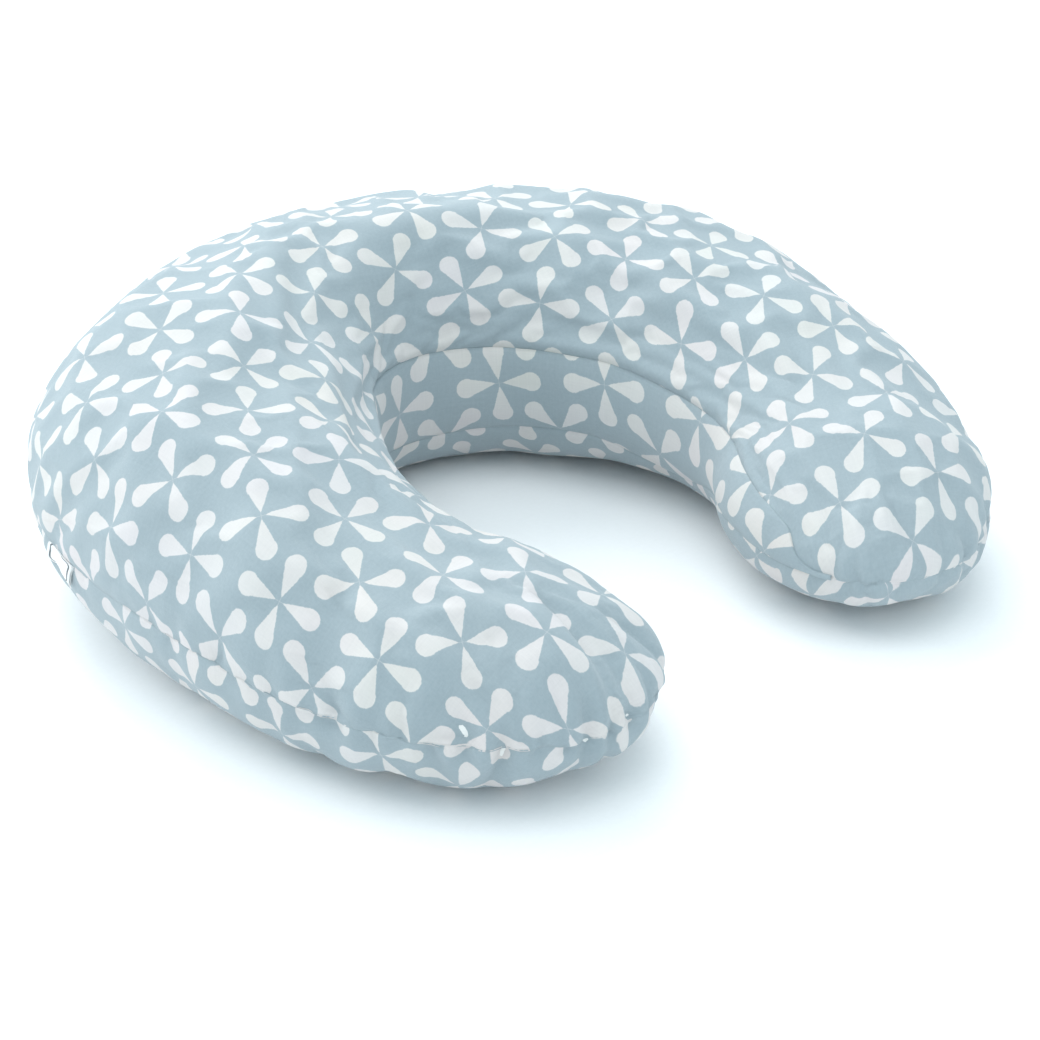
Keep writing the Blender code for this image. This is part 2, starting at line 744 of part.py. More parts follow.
def make_pull_tab(metal, slider):
    """The pull tab, with its origin on its pivot under the bridge. At rest it lies along the closed zip."""
    rings = [[], []]
    for place, height in tab_outline():
        rings[0].append(Vector((-place, -TAB_THICKNESS / 2, height)))
        rings[1].append(Vector((-place, TAB_THICKNESS / 2, height)))
    tab = loft("zip_pull_tab", rings, metal, smooth=False)
    slot_start = TAB_THICKNESS / 2
    slot_end = math.hypot(BRIDGE_HALF_LENGTH, BRIDGE_OPENING + BRIDGE_WALL - PIVOT_DEPTH) + TAB_SLOT_CLEARANCE
    slot = []
    for place, height in ((slot_start, -1), (slot_end, -1), (slot_end, 1), (slot_start, 1)):
        slot.append((-place, height * TAB_SLOT_HALF_HEIGHT))
    rings = []
    for depth in (-TAB_THICKNESS, TAB_THICKNESS):
        rings.append([Vector((place, depth, height)) for place, height in slot])
    cutter = as_cutter(loft("slot_cutter", rings, metal, smooth=False))
    boolean(tab, cutter, "DIFFERENCE")
    cutter.parent = tab
    tab.parent = slider
    tab.location = (0.0, TAPE_RADIUS + PIVOT_DEPTH, 0.0)
    return tab


# Labels.


def make_label(name, place, width, drop, look):
    """A folded label that hangs from the outer seam, flat against the lower panel's first slope."""
    outer = []
    inner = []
    for u in (place - width / 2, place, place + width / 2):
        section = Section(u)
        top = section.bottom(0.0, 1)
        slope = (section.bottom(math.pi / 2 / BOTTOM_COLUMNS, 1) - top).normalized()
        along = section.point(1.0, 0.0) - section.point(0.0, 0.0)
        outwards = (along - slope * along.dot(slope)).normalized()
        start = top + slope * SEAM_GAP
        ends = (start, start + slope * drop)
        inner.append([end + outwards * LAYER_GAP for end in ends])
        outer.append([end + outwards * (LAYER_GAP + LABEL_THICKNESS) for end in ends])
    shell(name, outer, inner, look)


def build():
    clear_scene()
    cotton = printed_cotton()
    thread = sewing_thread()
    make_cover(cotton)
    make_cover_threads(thread)
    satin = label_satin()
    make_label("side_label", SIDE_LABEL_PLACE, SIDE_LABEL_WIDTH, SIDE_LABEL_DROP, satin)
    make_label("care_label", CARE_LABEL_PLACE, CARE_LABEL_WIDTH, CARE_LABEL_DROP, satin)
    metal = zip_metal()
    make_zip_halves(zip_tape_weave(), zip_nylon(), metal)
    make_bartacks(thread)
    make_pull_tab(metal, make_slider(metal))
    make_inner_pillow(plain_cotton(), polyester_fibre())
    make_case_threads(white_thread())


build()
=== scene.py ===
import math
from functools import partial

import bmesh
import bpy
import numpy as np
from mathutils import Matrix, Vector
from mathutils.kdtree import KDTree


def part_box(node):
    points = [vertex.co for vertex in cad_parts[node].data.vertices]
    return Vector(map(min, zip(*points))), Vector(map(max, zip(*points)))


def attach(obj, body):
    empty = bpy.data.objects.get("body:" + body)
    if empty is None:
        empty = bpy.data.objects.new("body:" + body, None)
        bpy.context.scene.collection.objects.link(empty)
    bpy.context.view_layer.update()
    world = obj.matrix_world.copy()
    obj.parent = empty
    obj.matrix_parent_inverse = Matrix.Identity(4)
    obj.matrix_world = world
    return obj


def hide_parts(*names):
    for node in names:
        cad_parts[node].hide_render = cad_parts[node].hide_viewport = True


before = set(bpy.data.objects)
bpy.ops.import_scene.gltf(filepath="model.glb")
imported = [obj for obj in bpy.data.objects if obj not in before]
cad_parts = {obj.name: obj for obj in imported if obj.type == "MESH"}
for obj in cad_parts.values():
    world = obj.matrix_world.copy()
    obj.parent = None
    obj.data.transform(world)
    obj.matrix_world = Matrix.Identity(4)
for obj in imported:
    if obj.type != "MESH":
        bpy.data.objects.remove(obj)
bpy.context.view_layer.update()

scene = bpy.context.scene

# FIBRE FILLING
# Loose hollow polyester fibre, blown into the inner pillow through its back seam until it stands up firmly.
# It fills the C from tip to tip, with the soft lumps that packed fibre makes.

RING_RADIUS = 0.201            # the back of the C's middle line is an arc
SEAM_RADIUS = RING_RADIUS + 0.117
ZIP_HALF_ANGLE = 0.430 / 2 / SEAM_RADIUS
SLOT_END = (ZIP_HALF_ANGLE + 0.0006 / SEAM_RADIUS) * RING_RADIUS
SLOT_CLOSED = SLOT_END + 0.010 * RING_RADIUS / SEAM_RADIUS
BACK_END = (ZIP_HALF_ANGLE + 0.107 / SEAM_RADIUS) * RING_RADIUS
ARM_LENGTH = 0.247
ARM_END = BACK_END + ARM_LENGTH
TIP_LENGTH = 0.111
TIP_END = ARM_END + TIP_LENGTH
GUSSET_END = ARM_END + 0.105
ARM_PLACES = (BACK_END, BACK_END + ARM_LENGTH / 2, ARM_END)
OUTER_HALF_WIDTHS = (0.117, 0.1145, 0.082, 0.0875)
INNER_HALF_WIDTHS = (0.073, 0.104, 0.099, 0.0875)
HEIGHTS = (0.183, 0.171, 0.145, 0.108)
SEAM_HEIGHTS = (0.075, 0.065, 0.051)
UPPER_SHARES = (0.24, 0.28, 0.33, 0.51)
LOWER_SHARES = (0.52, 0.42, 0.58, 0.12)
SEAM_GAP = 0.0003
RESTING_HALF_WIDTH = 0.020
SEAM_HEIGHT = SEAM_HEIGHTS[0]
RING_CENTRE_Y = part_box("zip_tape_upper")[1].y - (SEAM_RADIUS - 0.0005 + 0.00025)


BEND_CHANGE = 0.060            # over this length the back's bend eases into the arm's
ARM_RADIUS = 0.198
ARM_TIP_RADIUS = 0.190


def middle_line():
    """The right arm's middle line about the ring's centre: lengths, x, y and heading."""
    steps = 240
    lengths = np.linspace(BACK_END, ARM_END, steps + 1)
    change_end = BACK_END + BEND_CHANGE
    share_in = np.clip((lengths - BACK_END) / BEND_CHANGE, 0, 1)
    share_out = np.clip((lengths - change_end) / (ARM_END - change_end), 0, 1)
    bend = (1 - share_in) / RING_RADIUS + share_in / ARM_RADIUS
    bend = np.where(lengths > change_end, (1 - share_out) / ARM_RADIUS + share_out / ARM_TIP_RADIUS, bend)
    step = ARM_LENGTH / steps
    start = BACK_END / RING_RADIUS
    heading = start + np.concatenate([[0], np.cumsum((bend[1:] + bend[:-1]) / 2 * step)])
    middle = (heading[1:] + heading[:-1]) / 2
    x = RING_RADIUS * math.sin(start) + np.concatenate([[0], np.cumsum(np.cos(middle) * step)])
    y = RING_RADIUS * math.cos(start) - np.concatenate([[0], np.cumsum(np.sin(middle) * step)])
    return lengths, x, y, heading


ARM_LINE = middle_line()


def through(along, places, values):
    """A smooth curve through values at places, level before the first and straight past the last."""
    slopes = [0.0]
    for k in range(1, len(places)):
        left = (values[k] - values[k - 1]) / (places[k] - places[k - 1])
        if k == len(places) - 1:
            slopes.append(left * 0.5)
            continue
        right = (values[k + 1] - values[k]) / (places[k + 1] - places[k])
        span = places[k + 1] - places[k - 1]
        slopes.append((right * (places[k] - places[k - 1]) + left * (places[k + 1] - places[k])) / span)
    if along > places[-1]:
        return values[-1] + slopes[-1] * (along - places[-1])
    k = max(0, min(len(places) - 2, int(np.searchsorted(places, along)) - 1))
    gap = places[k + 1] - places[k]
    t = max(0.0, (along - places[k]) / gap)
    ease = t * (1 - t) ** 2 * gap * slopes[k] + t * t * (t - 1) * gap * slopes[k + 1]
    return values[k] + (values[k + 1] - values[k]) * (3 - 2 * t) * t * t + ease


def smooth_step(value):
    value = np.clip(value, 0.0, 1.0)
    return (3 - 2 * value) * value * value


class Slice:
    """A cut across the pillow at a length u from the middle of the back, inset from the cover's outside."""

    def __init__(self, u, inset=0.0, outer=0.0, floor=0.0):
        self.side = -1.0 if u < 0 else 1.0
        self.u = abs(u)
        along = min(self.u, ARM_END)
        beyond = (self.u - along) / TIP_LENGTH
        self.tip = math.sqrt(max(0.0, 1.0 - beyond ** 2))
        if along <= BACK_END:
            self.heading = along / RING_RADIUS
            self.x = RING_RADIUS * math.sin(self.heading)
            self.y = RING_RADIUS * math.cos(self.heading)
        else:
            self.x, self.y, self.heading = [np.interp(along, ARM_LINE[0], values) for values in ARM_LINE[1:]]
        self.reach = beyond * (TIP_LENGTH - inset)
        half_out = through(self.u, (SLOT_CLOSED, *ARM_PLACES), OUTER_HALF_WIDTHS)
        half_in = through(self.u, (0.0, *ARM_PLACES), INNER_HALF_WIDTHS)
        self.half_out = (half_out - outer) * self.tip
        self.half_in = (half_in - inset) * self.tip
        self.seam = through(self.u, ARM_PLACES, SEAM_HEIGHTS)
        self.top_seam = self.seam + SEAM_GAP / 2
        self.bottom_seam = self.seam - SEAM_GAP / 2
        height = through(self.u, (0.0, *ARM_PLACES), HEIGHTS)
        self.rise = (height - inset - self.top_seam) * self.tip ** 1.15
        self.drop = (self.bottom_seam - floor) * self.tip ** 1.07
        self.flat = RESTING_HALF_WIDTH * self.tip
        left = (GUSSET_END - self.u) / 0.030
        share = smooth_step(left)
        end = 0.001 if left >= -0.01 else 0.0
        places = (0.0, *ARM_PLACES)
        self.gusset_top = self.seam + max(end, self.rise * through(self.u, places, UPPER_SHARES) * share)
        below = self.drop * max(0.0, through(self.u, places, LOWER_SHARES))
        self.gusset_low = self.seam - max(end, below * share)

    def place(self, across, z):
        x = self.x + self.reach * math.cos(self.heading) + across * math.sin(self.heading)
        y = self.y - self.reach * math.sin(self.heading) + across * math.cos(self.heading)
        return np.stack([self.side * x, y + RING_CENTRE_Y, np.broadcast_to(z, np.shape(x))], axis=-1)

    def over(self, angle):
        """Across and height over the top, from the outer seam at 0 to the inner side at pi."""
        cosine = np.cos(angle)
        half = np.where(cosine >= 0, self.half_out, -self.half_in)
        return half * np.abs(cosine) ** 0.95, self.top_seam + self.rise * np.clip(np.sin(angle), 0, 1) ** 1.04

    def under(self, angle):
        """Across and height underneath, from the outer seam at 0 to the inner side at pi."""
        cosine = np.cos(angle)
        outer = self.flat + (self.half_out - self.flat) * cosine
        inner = -self.flat + (self.half_in - self.flat) * cosine
        return np.where(cosine >= 0, outer, inner), self.bottom_seam - self.drop * np.sin(angle)

    def over_angle(self, z):
        lift = np.clip((z - self.top_seam) / max(self.rise, 1e-6), 0, 1)
        return math.asin(lift ** (1 / 1.04))

    def under_angle(self, z):
        return math.asin(np.clip((self.bottom_seam - z) / max(self.drop, 1e-6), 0, 1))

    def slot_half(self):
        """Half the height of the gap that the zip needs in the outer seam."""
        share = smooth_step((SLOT_CLOSED - self.u) / (SLOT_CLOSED - SLOT_END))
        return SEAM_GAP / 2 + (0.0072 - SEAM_GAP / 2) * share


def along_arc(across, z, shares):
    """Points at shares of a profile's length, and how far along it they lie outwards of the middle line."""
    lengths = np.concatenate([[0], np.cumsum(np.hypot(np.diff(across), np.diff(z)))])
    wanted = lengths[-1] * shares
    middle = np.interp(0.0, -across, lengths)
    return np.interp(wanted, lengths, across), np.interp(wanted, lengths, z), middle - wanted


def length_places(count, end=TIP_END, reach=TIP_LENGTH):
    """Values of u from tip to tip, crowding towards the round tips."""
    arm = end - reach
    angle = math.asin(min(1.0, (end - ARM_END) / TIP_LENGTH)) if end > ARM_END else 0.0
    tip_count = max(4, int(count * 0.16))
    tip = ARM_END + TIP_LENGTH * np.sin(np.linspace(0, angle, tip_count + 1)[1:])
    arm = np.linspace(0, ARM_END, int(count / 2 - tip_count) + 1)
    right = np.concatenate([arm, tip])
    return np.concatenate([-right[:0:-1], right])


def crowded(count, ends=0.45):
    """Shares from 0 to 1 that lie closer together near both ends."""
    t = np.linspace(0, 1, count)
    return t - ends * np.sin(2 * np.pi * t) / (2 * np.pi)


def grid_faces(rows, columns, flip=False, closed=False):
    """Faces of a grid of points, wound so that they look outwards."""
    index = np.arange(rows * columns).reshape(rows, columns)
    if closed:
        index = np.concatenate([index, index[:, :1]], axis=1)
    corners = [index[:-1, :-1], index[:-1, 1:], index[1:, 1:], index[1:, :-1]]
    if flip:
        corners = corners[::-1]
    return np.stack(corners, axis=-1).reshape(-1, 4)


def to_mesh(name, points, faces, uv=None):
    """A mesh object at the origin. Doubled points at a tip are merged."""
    data = bpy.data.meshes.new(name)
    data.from_pydata(points.reshape(-1, 3).tolist(), [], faces.tolist())
    if uv is not None:
        layer = data.uv_layers.new(name="cloth")
        loops = np.array([loop.vertex_index for loop in data.loops])
        layer.data.foreach_set("uv", uv.reshape(-1, 2)[loops].ravel())
    weld(data)
    data.shade_smooth()
    piece = bpy.data.objects.new(name, data)
    scene.collection.objects.link(piece)
    return piece


def weld(data, distance=1e-6):
    work = bmesh.new()
    work.from_mesh(data)
    bmesh.ops.remove_doubles(work, verts=work.verts, dist=distance)
    bmesh.ops.dissolve_degenerate(work, edges=work.edges, dist=1e-7)
    work.to_mesh(data)
    work.free()


def finished(piece):
    """The piece with its modifiers applied, as a plain mesh."""
    bpy.context.view_layer.update()
    graph = bpy.context.evaluated_depsgraph_get()
    plain = bpy.data.meshes.new_from_object(piece.evaluated_get(graph), depsgraph=graph)
    look = list(piece.data.materials)
    name = piece.name
    bpy.data.objects.remove(piece)
    done = bpy.data.objects.new(name, plain)
    done.name = name
    scene.collection.objects.link(done)
    if not plain.materials:
        for material in look:
            plain.materials.append(material)
    return done


def new_material(name):
    """A material, a function that adds a node to it, and one that joins or sets its shader's inputs."""
    material = bpy.data.materials.new(name)
    material.use_nodes = True
    tree = material.node_tree
    add = node_maker(tree)

    def dress(bump=None, **inputs):
        if bump:
            inputs["Normal"] = add("ShaderNodeBump", Height=bump[0], Distance=bump[1], Strength=bump[2]).outputs[0]
        set_inputs(tree, tree.nodes["Principled BSDF"], inputs)

    return material, add, dress


def set_inputs(tree, node, inputs):
    """Joins each input of a node to a socket or gives it a value. An input is known by its name or its number."""
    for key, value in inputs.items():
        socket = node.inputs[int(key[1:]) if key[0] == "i" and key[1:].isdigit() else key.replace("_", " ")]
        if isinstance(value, bpy.types.NodeSocket):
            tree.links.new(value, socket)
        else:
            socket.default_value = value


def node_maker(tree):
    def add(kind, settings=None, **inputs):
        node = tree.nodes.new(kind)
        for key, value in (settings or {}).items():
            setattr(node, key, value)
        set_inputs(tree, node, inputs)
        return node
    return add


def math_node(add, operation, first, second=None, clamp=False):
    inputs = {"i0": first}
    if second is not None:
        inputs["i1"] = second
    return add("ShaderNodeMath", {"operation": operation, "use_clamp": clamp}, **inputs).outputs[0]


def ramp_node(add, factor, stops):
    node = add("ShaderNodeValToRGB", Fac=factor)
    elements = node.color_ramp.elements
    while len(elements) < len(stops):
        elements.new(0.5)
    for element, (place, colour) in zip(elements, stops):
        element.position = place
        element.color = (*colour, 1.0) if len(colour) == 3 else colour
    return node.outputs[0]


def lumps(points, size, seed):
    """Smooth three-way waves with no straight lines in them, from about -1 to 1."""
    rng = np.random.default_rng(seed)
    total = np.zeros(points.shape[:-1])
    for _ in range(9):
        direction = rng.normal(size=3)
        direction /= np.linalg.norm(direction)
        stretch = rng.uniform(0.6, 1.7) / size
        total += np.sin(points @ direction * stretch * 2 * np.pi + rng.uniform(0, 2 * np.pi))
    return total / 3


def grid_normals(points):
    """Outward normals of a grid of points, by the differences along its rows and columns."""
    across = np.gradient(points, axis=1)
    along = np.gradient(points, axis=0)
    normal = np.cross(across, along)
    length = np.linalg.norm(normal, axis=-1, keepdims=True)
    return normal / np.maximum(length, 1e-12)


FILL_INSET = 0.0110
FILL_ROWS = 150
FILL_COLUMNS = 40


def whole_rings(places, columns, inset, outer, floor):
    """Closed rings of points right round the pillow."""
    shares = np.linspace(0, 1, columns + 1)
    angles = np.linspace(0, np.pi, 160)
    rings = []
    for u in places:
        cut = Slice(u, inset, outer, floor)
        top = along_arc(*cut.over(angles), shares)
        low = along_arc(*cut.under(angles), shares)
        across = np.concatenate([top[0], low[0][-2:0:-1]])
        z = np.concatenate([top[1], low[1][-2:0:-1]])
        rings.append(cut.place(across, z))
    return np.array(rings)


fill_points = whole_rings(length_places(FILL_ROWS), FILL_COLUMNS, FILL_INSET, 0.014, 0.0040)
fill_normal = grid_normals(np.concatenate([fill_points, fill_points[:, :1]], axis=1))[:, :-1]
fill_points = fill_points + fill_normal * (lumps(fill_points, 0.060, 3) * 0.0012 - 0.0012)[..., None]
fill_piece = to_mesh("filling", fill_points, grid_faces(len(fill_points), FILL_COLUMNS * 2, True, True))

fibre, add, dress = new_material("polyester_fibre")
place = add("ShaderNodeTexCoord").outputs["Object"]
strands = add("ShaderNodeTexNoise", Vector=place, Scale=900.0, Detail=6.0, Distortion=1.5).outputs["Fac"]
clumps = add("ShaderNodeTexNoise", Vector=place, Scale=60.0, Detail=4.0).outputs["Fac"]
fibre_relief_and_shade = math_node(add, "MULTIPLY", strands, clumps)
# The fibre's colour follows its bump height: painted shade, greyer in the hollows between strands and clumps.
dress(Base_Color=ramp_node(add, fibre_relief_and_shade, [(0.1, (0.80, 0.81, 0.82)), (0.45, (0.95, 0.95, 0.95))]),
      bump=(fibre_relief_and_shade, 0.002, 0.8), Roughness=0.95)
fill_piece.data.materials.append(fibre)
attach(fill_piece, "pillow")
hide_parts("fibre_fill")

# INNER CASE
# Plain white cotton bag that holds the fibre: an upper and a lower panel, sewn together all round their edge.
# It is filled through a gap in the back of that seam, which is then closed with one more stitched line.

CASE_INSET = 0.0075
CASE_OUTER = 0.0105
CASE_FLOOR = 0.0026
CASE_ROWS = 260
CASE_COLUMNS = 56
CASE_THICKNESS = 0.0006
CASE_OPENING = 0.066           # half the length of the closed filling gap


def half_grid(places, columns, upper, inset, outer, floor):
    """Rows of points over or under the pillow, from its outer seam to its inner side."""
    shares = crowded(columns)
    angles = np.linspace(0, np.pi, 200)
    rows = []
    for u in places:
        cut = Slice(u, inset, outer, floor)
        across, z, _ = along_arc(*(cut.over(angles) if upper else cut.under(angles)), shares)
        rows.append(cut.place(across, z))
    return np.array(rows)


def seam_tree(points):
    """For any point: how far the nearest place on a seam is, and how far along the seam that place lies."""
    fine = np.linspace(0, len(points) - 1, 6 * len(points))
    line = np.stack([np.interp(fine, np.arange(len(points)), points[:, k]) for k in range(3)], axis=-1)
    lengths = np.concatenate([[0], np.cumsum(np.linalg.norm(np.diff(line, axis=0), axis=1))])
    tree = KDTree(len(line))
    for k, point in enumerate(line):
        tree.insert(point, k)
    tree.balance()
    return tree, lengths


def from_seam(points, seam):
    tree, lengths = seam
    found = [tree.find(point) for point in points.reshape(-1, 3)]
    away = np.array([hit[2] for hit in found]).reshape(points.shape[:-1])
    along = lengths[[hit[1] for hit in found]].reshape(points.shape[:-1])
    return away, along


def gathers(away, along, length, pitch, depth, reach, seed):
    """Depth of the small tucks that a gathered seam pulls into the cloth beside it."""
    rng = np.random.default_rng(seed)
    total = np.zeros_like(away)
    at = 0.0
    while at < length:
        at += pitch * rng.uniform(0.55, 1.6)
        width = pitch * rng.uniform(0.16, 0.34)
        run = reach * rng.uniform(0.45, 1.5)
        slant = rng.uniform(-0.35, 0.35)
        strength = rng.uniform(0.25, 1.0) ** 1.3
        near = np.abs(along - at) < width * 5 + 0.35 * run
        gap = along[near] - at - slant * away[near] * (1 - np.exp(-away[near] / 0.01))
        opening = width * (1 + away[near] / run)
        rise = 1 - np.exp(-away[near] / 0.0025)
        total[near] += strength * rise * np.exp(-(gap / opening) ** 2) * np.exp(-(away[near] / run) ** 1.6)
    return -depth * total


def thickened(piece, thickness):
    """Gives a sheet its cloth's thickness, on its inner side."""
    wall = piece.modifiers.new("thickness", "SOLIDIFY")
    wall.thickness = thickness
    wall.offset = -1.0
    wall.use_even_offset = False
    wall.use_rim = True
    return finished(piece)


def case_slice(u):
    return Slice(u, CASE_INSET, CASE_OUTER, CASE_FLOOR)


case_seam_rows = length_places(CASE_ROWS)
case_cuts = [case_slice(u) for u in case_seam_rows]
case_outer_side = [cut.place(cut.half_out, cut.seam) for cut in case_cuts]
case_inner_side = [cut.place(-cut.half_in, cut.seam) for cut in case_cuts]
case_tree = seam_tree(np.array(case_outer_side + case_inner_side[::-1]))


def weave_group():
    """Plain weave: the height of crossing threads and a faint unevenness from thread to thread."""
    group = bpy.data.node_groups.new("plain_weave", "ShaderNodeTree")
    group.interface.new_socket("Cloth", in_out="INPUT", socket_type="NodeSocketVector")
    group.interface.new_socket("Thread Pitch", in_out="INPUT", socket_type="NodeSocketFloat")
    group.interface.new_socket("Height", in_out="OUTPUT", socket_type="NodeSocketFloat")
    group.interface.new_socket("Slub", in_out="OUTPUT", socket_type="NodeSocketFloat")
    add = node_maker(group)
    calc = partial(math_node, add)
    enter = add("NodeGroupInput")
    leave = add("NodeGroupOutput")
    pitch = enter.outputs["Thread Pitch"]
    frequency = calc("DIVIDE", math.pi, pitch)
    wobble = add("ShaderNodeTexNoise", Vector=enter.outputs["Cloth"], Scale=160.0, Detail=2.0).outputs["Color"]
    shift = add("ShaderNodeVectorMath", {"operation": "SCALE"}, i0=wobble)
    group.links.new(calc("MULTIPLY", pitch, 1.2), shift.inputs["Scale"])
    moved = add("ShaderNodeVectorMath", {"operation": "ADD"}, i0=enter.outputs["Cloth"], i1=shift.outputs[0])
    scaled = add("ShaderNodeVectorMath", {"operation": "SCALE"}, i0=moved.outputs[0])
    group.links.new(frequency, scaled.inputs["Scale"])
    parts = add("ShaderNodeSeparateXYZ", Vector=scaled.outputs[0])
    waves = [calc("SINE", parts.outputs[k]) for k in (0, 1)]
    threads = [calc("ABSOLUTE", wave) for wave in waves]
    crossing = calc("MULTIPLY", waves[0], waves[1])
    over = calc("GREATER_THAN", crossing, 0.0)
    height = add("ShaderNodeMix", {"data_type": "FLOAT"}, Factor=over)
    group.links.new(threads[0], height.inputs[2])
    group.links.new(threads[1], height.inputs[3])
    group.links.new(height.outputs[0], leave.inputs["Height"])
    slubs = []
    for stretch in ((1.0, 0.02, 1.0), (0.02, 1.0, 1.0)):
        streak = add("ShaderNodeVectorMath", {"operation": "MULTIPLY"}, i0=enter.outputs["Cloth"], i1=stretch)
        slubs.append(add("ShaderNodeTexNoise", Vector=streak.outputs[0], Scale=900.0, Detail=2.0).outputs["Fac"])
    both = calc("ADD", slubs[0], slubs[1])
    group.links.new(calc("MULTIPLY", both, 0.5), leave.inputs["Slub"])
    return group


plain_weave = weave_group()
case_cotton, add, dress = new_material("plain_cotton")
cloth_place = add("ShaderNodeTexCoord").outputs["UV"]
weave = add("ShaderNodeGroup", {"node_tree": plain_weave}, Cloth=cloth_place, Thread_Pitch=0.0006)
shade = ramp_node(add, weave.outputs["Slub"], [(0.3, (0.80, 0.80, 0.78)), (0.7, (0.92, 0.92, 0.90))])
dress(Base_Color=shade, bump=(weave.outputs["Height"], 0.0002, 0.6), Roughness=0.88)
for upper, name in ((True, "case_upper_panel"), (False, "case_lower_panel")):
    points = half_grid(case_seam_rows, CASE_COLUMNS, upper, CASE_INSET, CASE_OUTER, CASE_FLOOR)
    away, along = from_seam(points, case_tree)
    drop = gathers(away, along, case_tree[1][-1], 0.017, 0.0016, 0.030, 11 + upper)
    drop = drop * np.clip(away / 0.004, 0, 1)
    facing = grid_normals(points) * (1 if upper else -1)
    lengths = np.cumsum(np.linalg.norm(np.diff(points, axis=1, prepend=points[:, :1]), axis=2), axis=1)
    rows = np.broadcast_to(case_seam_rows[:, None], lengths.shape)
    uv = np.stack([rows, lengths], axis=-1)
    points = points + facing * drop[..., None]
    piece = to_mesh(name, points, grid_faces(*points.shape[:2], upper), uv)
    piece.data.materials.append(case_cotton)
    piece = thickened(piece, CASE_THICKNESS)
    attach(piece, "pillow")
    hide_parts("inner_case_top" if upper else "inner_case_bottom")

# INNER CASE THREADS
# White polyester thread: the two halves of the case's seam, and the line that closes the filling gap at the back.
# Each stitch is a short twist of thread that dips into the cloth at both ends.


def row_tree(name, sizes, segments, rings, scales, upright=False):
    """Little closed bodies in a row along a line. The first of the named sizes is the row's pitch, and scales
    names the size, and how many times it, that a body has along each of its axes."""
    tree = bpy.data.node_groups.new(name, "GeometryNodeTree")
    face = tree.interface
    face.new_socket("Line", in_out="INPUT", socket_type="NodeSocketGeometry")
    for size, value in sizes.items():
        face.new_socket(size, in_out="INPUT", socket_type="NodeSocketFloat").default_value = value
    face.new_socket("Material", in_out="INPUT", socket_type="NodeSocketMaterial")
    face.new_socket("Row", in_out="OUTPUT", socket_type="NodeSocketGeometry")
    add = node_maker(tree)
    enter = add("NodeGroupInput")
    leave = add("NodeGroupOutput")
    row = add("GeometryNodeResampleCurve", {"mode": "LENGTH"}, Curve=enter.outputs["Line"],
              Length=enter.outputs[list(sizes)[0]])
    bead = add("GeometryNodeMeshUVSphere", Segments=segments, Rings=rings, Radius=0.5)
    x, y, z = [math_node(add, "MULTIPLY", enter.outputs[size], times) for size, times in scales]
    scale = add("ShaderNodeCombineXYZ", X=x, Y=y, Z=z)
    tangent = add("GeometryNodeInputTangent")
    turn = add("FunctionNodeAlignRotationToVector", {"axis": "Z"}, Vector=tangent.outputs[0])
    if upright:
        turn = add("FunctionNodeAlignRotationToVector", {"axis": "Y", "pivot_axis": "Z"},
                   Rotation=turn.outputs[0], Vector=(0.0, 0.0, 1.0))
    placed = add("GeometryNodeInstanceOnPoints", Points=row.outputs[0], Instance=bead.outputs["Mesh"],
                 Rotation=turn.outputs[0], Scale=scale.outputs[0])
    real = add("GeometryNodeRealizeInstances", Geometry=placed.outputs[0])
    smooth = add("GeometryNodeSetShadeSmooth", Geometry=real.outputs[0])
    look = add("GeometryNodeSetMaterial", Geometry=smooth.outputs[0], Material=enter.outputs["Material"])
    tree.links.new(look.outputs[0], leave.inputs["Row"])
    return tree


def line_object(name, points):
    curve = bpy.data.curves.new(name, "CURVE")
    curve.dimensions = "3D"
    spline = curve.splines.new("POLY")
    spline.points.add(len(points) - 1)
    spline.points.foreach_set("co", np.concatenate([points, np.ones((len(points), 1))], axis=1).ravel())
    piece = bpy.data.objects.new(name, curve)
    scene.collection.objects.link(piece)
    return piece


def grown(piece, tree, **values):
    """The plain mesh that a node tree makes of a piece, with the tree's named inputs set."""
    change = piece.modifiers.new("grown", "NODES")
    change.node_group = tree
    sockets = {item.name: item.identifier for item in tree.interface.items_tree if item.in_out == "INPUT"}
    for name, value in values.items():
        change[sockets[name.replace("_", " ")]] = value
    return finished(piece)


def thread_material(name, colour):
    material, add, dress = new_material(name)
    place = add("ShaderNodeTexCoord").outputs["Object"]
    twist = add("ShaderNodeTexWave", {"bands_direction": "DIAGONAL"}, Vector=place, Scale=900.0, Distortion=2.0)
    # The twist's low bands are darkened to 0.72 of the thread's colour, in step with its bump: painted shade in the
    # grooves.
    dark = tuple(0.72 * part for part in colour)
    dress(Base_Color=ramp_node(add, twist.outputs["Fac"], [(0.1, dark), (0.7, colour)]),
          bump=(twist.outputs["Fac"], 0.0001, 0.7), Roughness=0.55)
    return material


stitches = row_tree("stitches", {"Stitch Pitch": 0.003, "Stitch Length": 0.0024, "Thread Radius": 0.0003}, 8, 6,
                    (("Thread Radius", 2.0), ("Thread Radius", 2.0), ("Stitch Length", 1.0)))
white_thread = thread_material("white_thread", (0.92, 0.92, 0.91))


def stitched(name, points, material, body_node, pitch=0.003, length=0.0024, radius=0.0003):
    piece = grown(line_object(name, points), stitches, Stitch_Pitch=pitch, Stitch_Length=length,
                  Thread_Radius=radius, Material=material)
    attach(piece, "pillow")
    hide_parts(body_node)


def case_run(first, last):
    """Points along the case's outer seam between two places."""
    cuts = [case_slice(u) for u in case_seam_rows if first <= u <= last]
    return np.array([cut.place(cut.half_out + 0.0002, cut.seam) for cut in cuts])


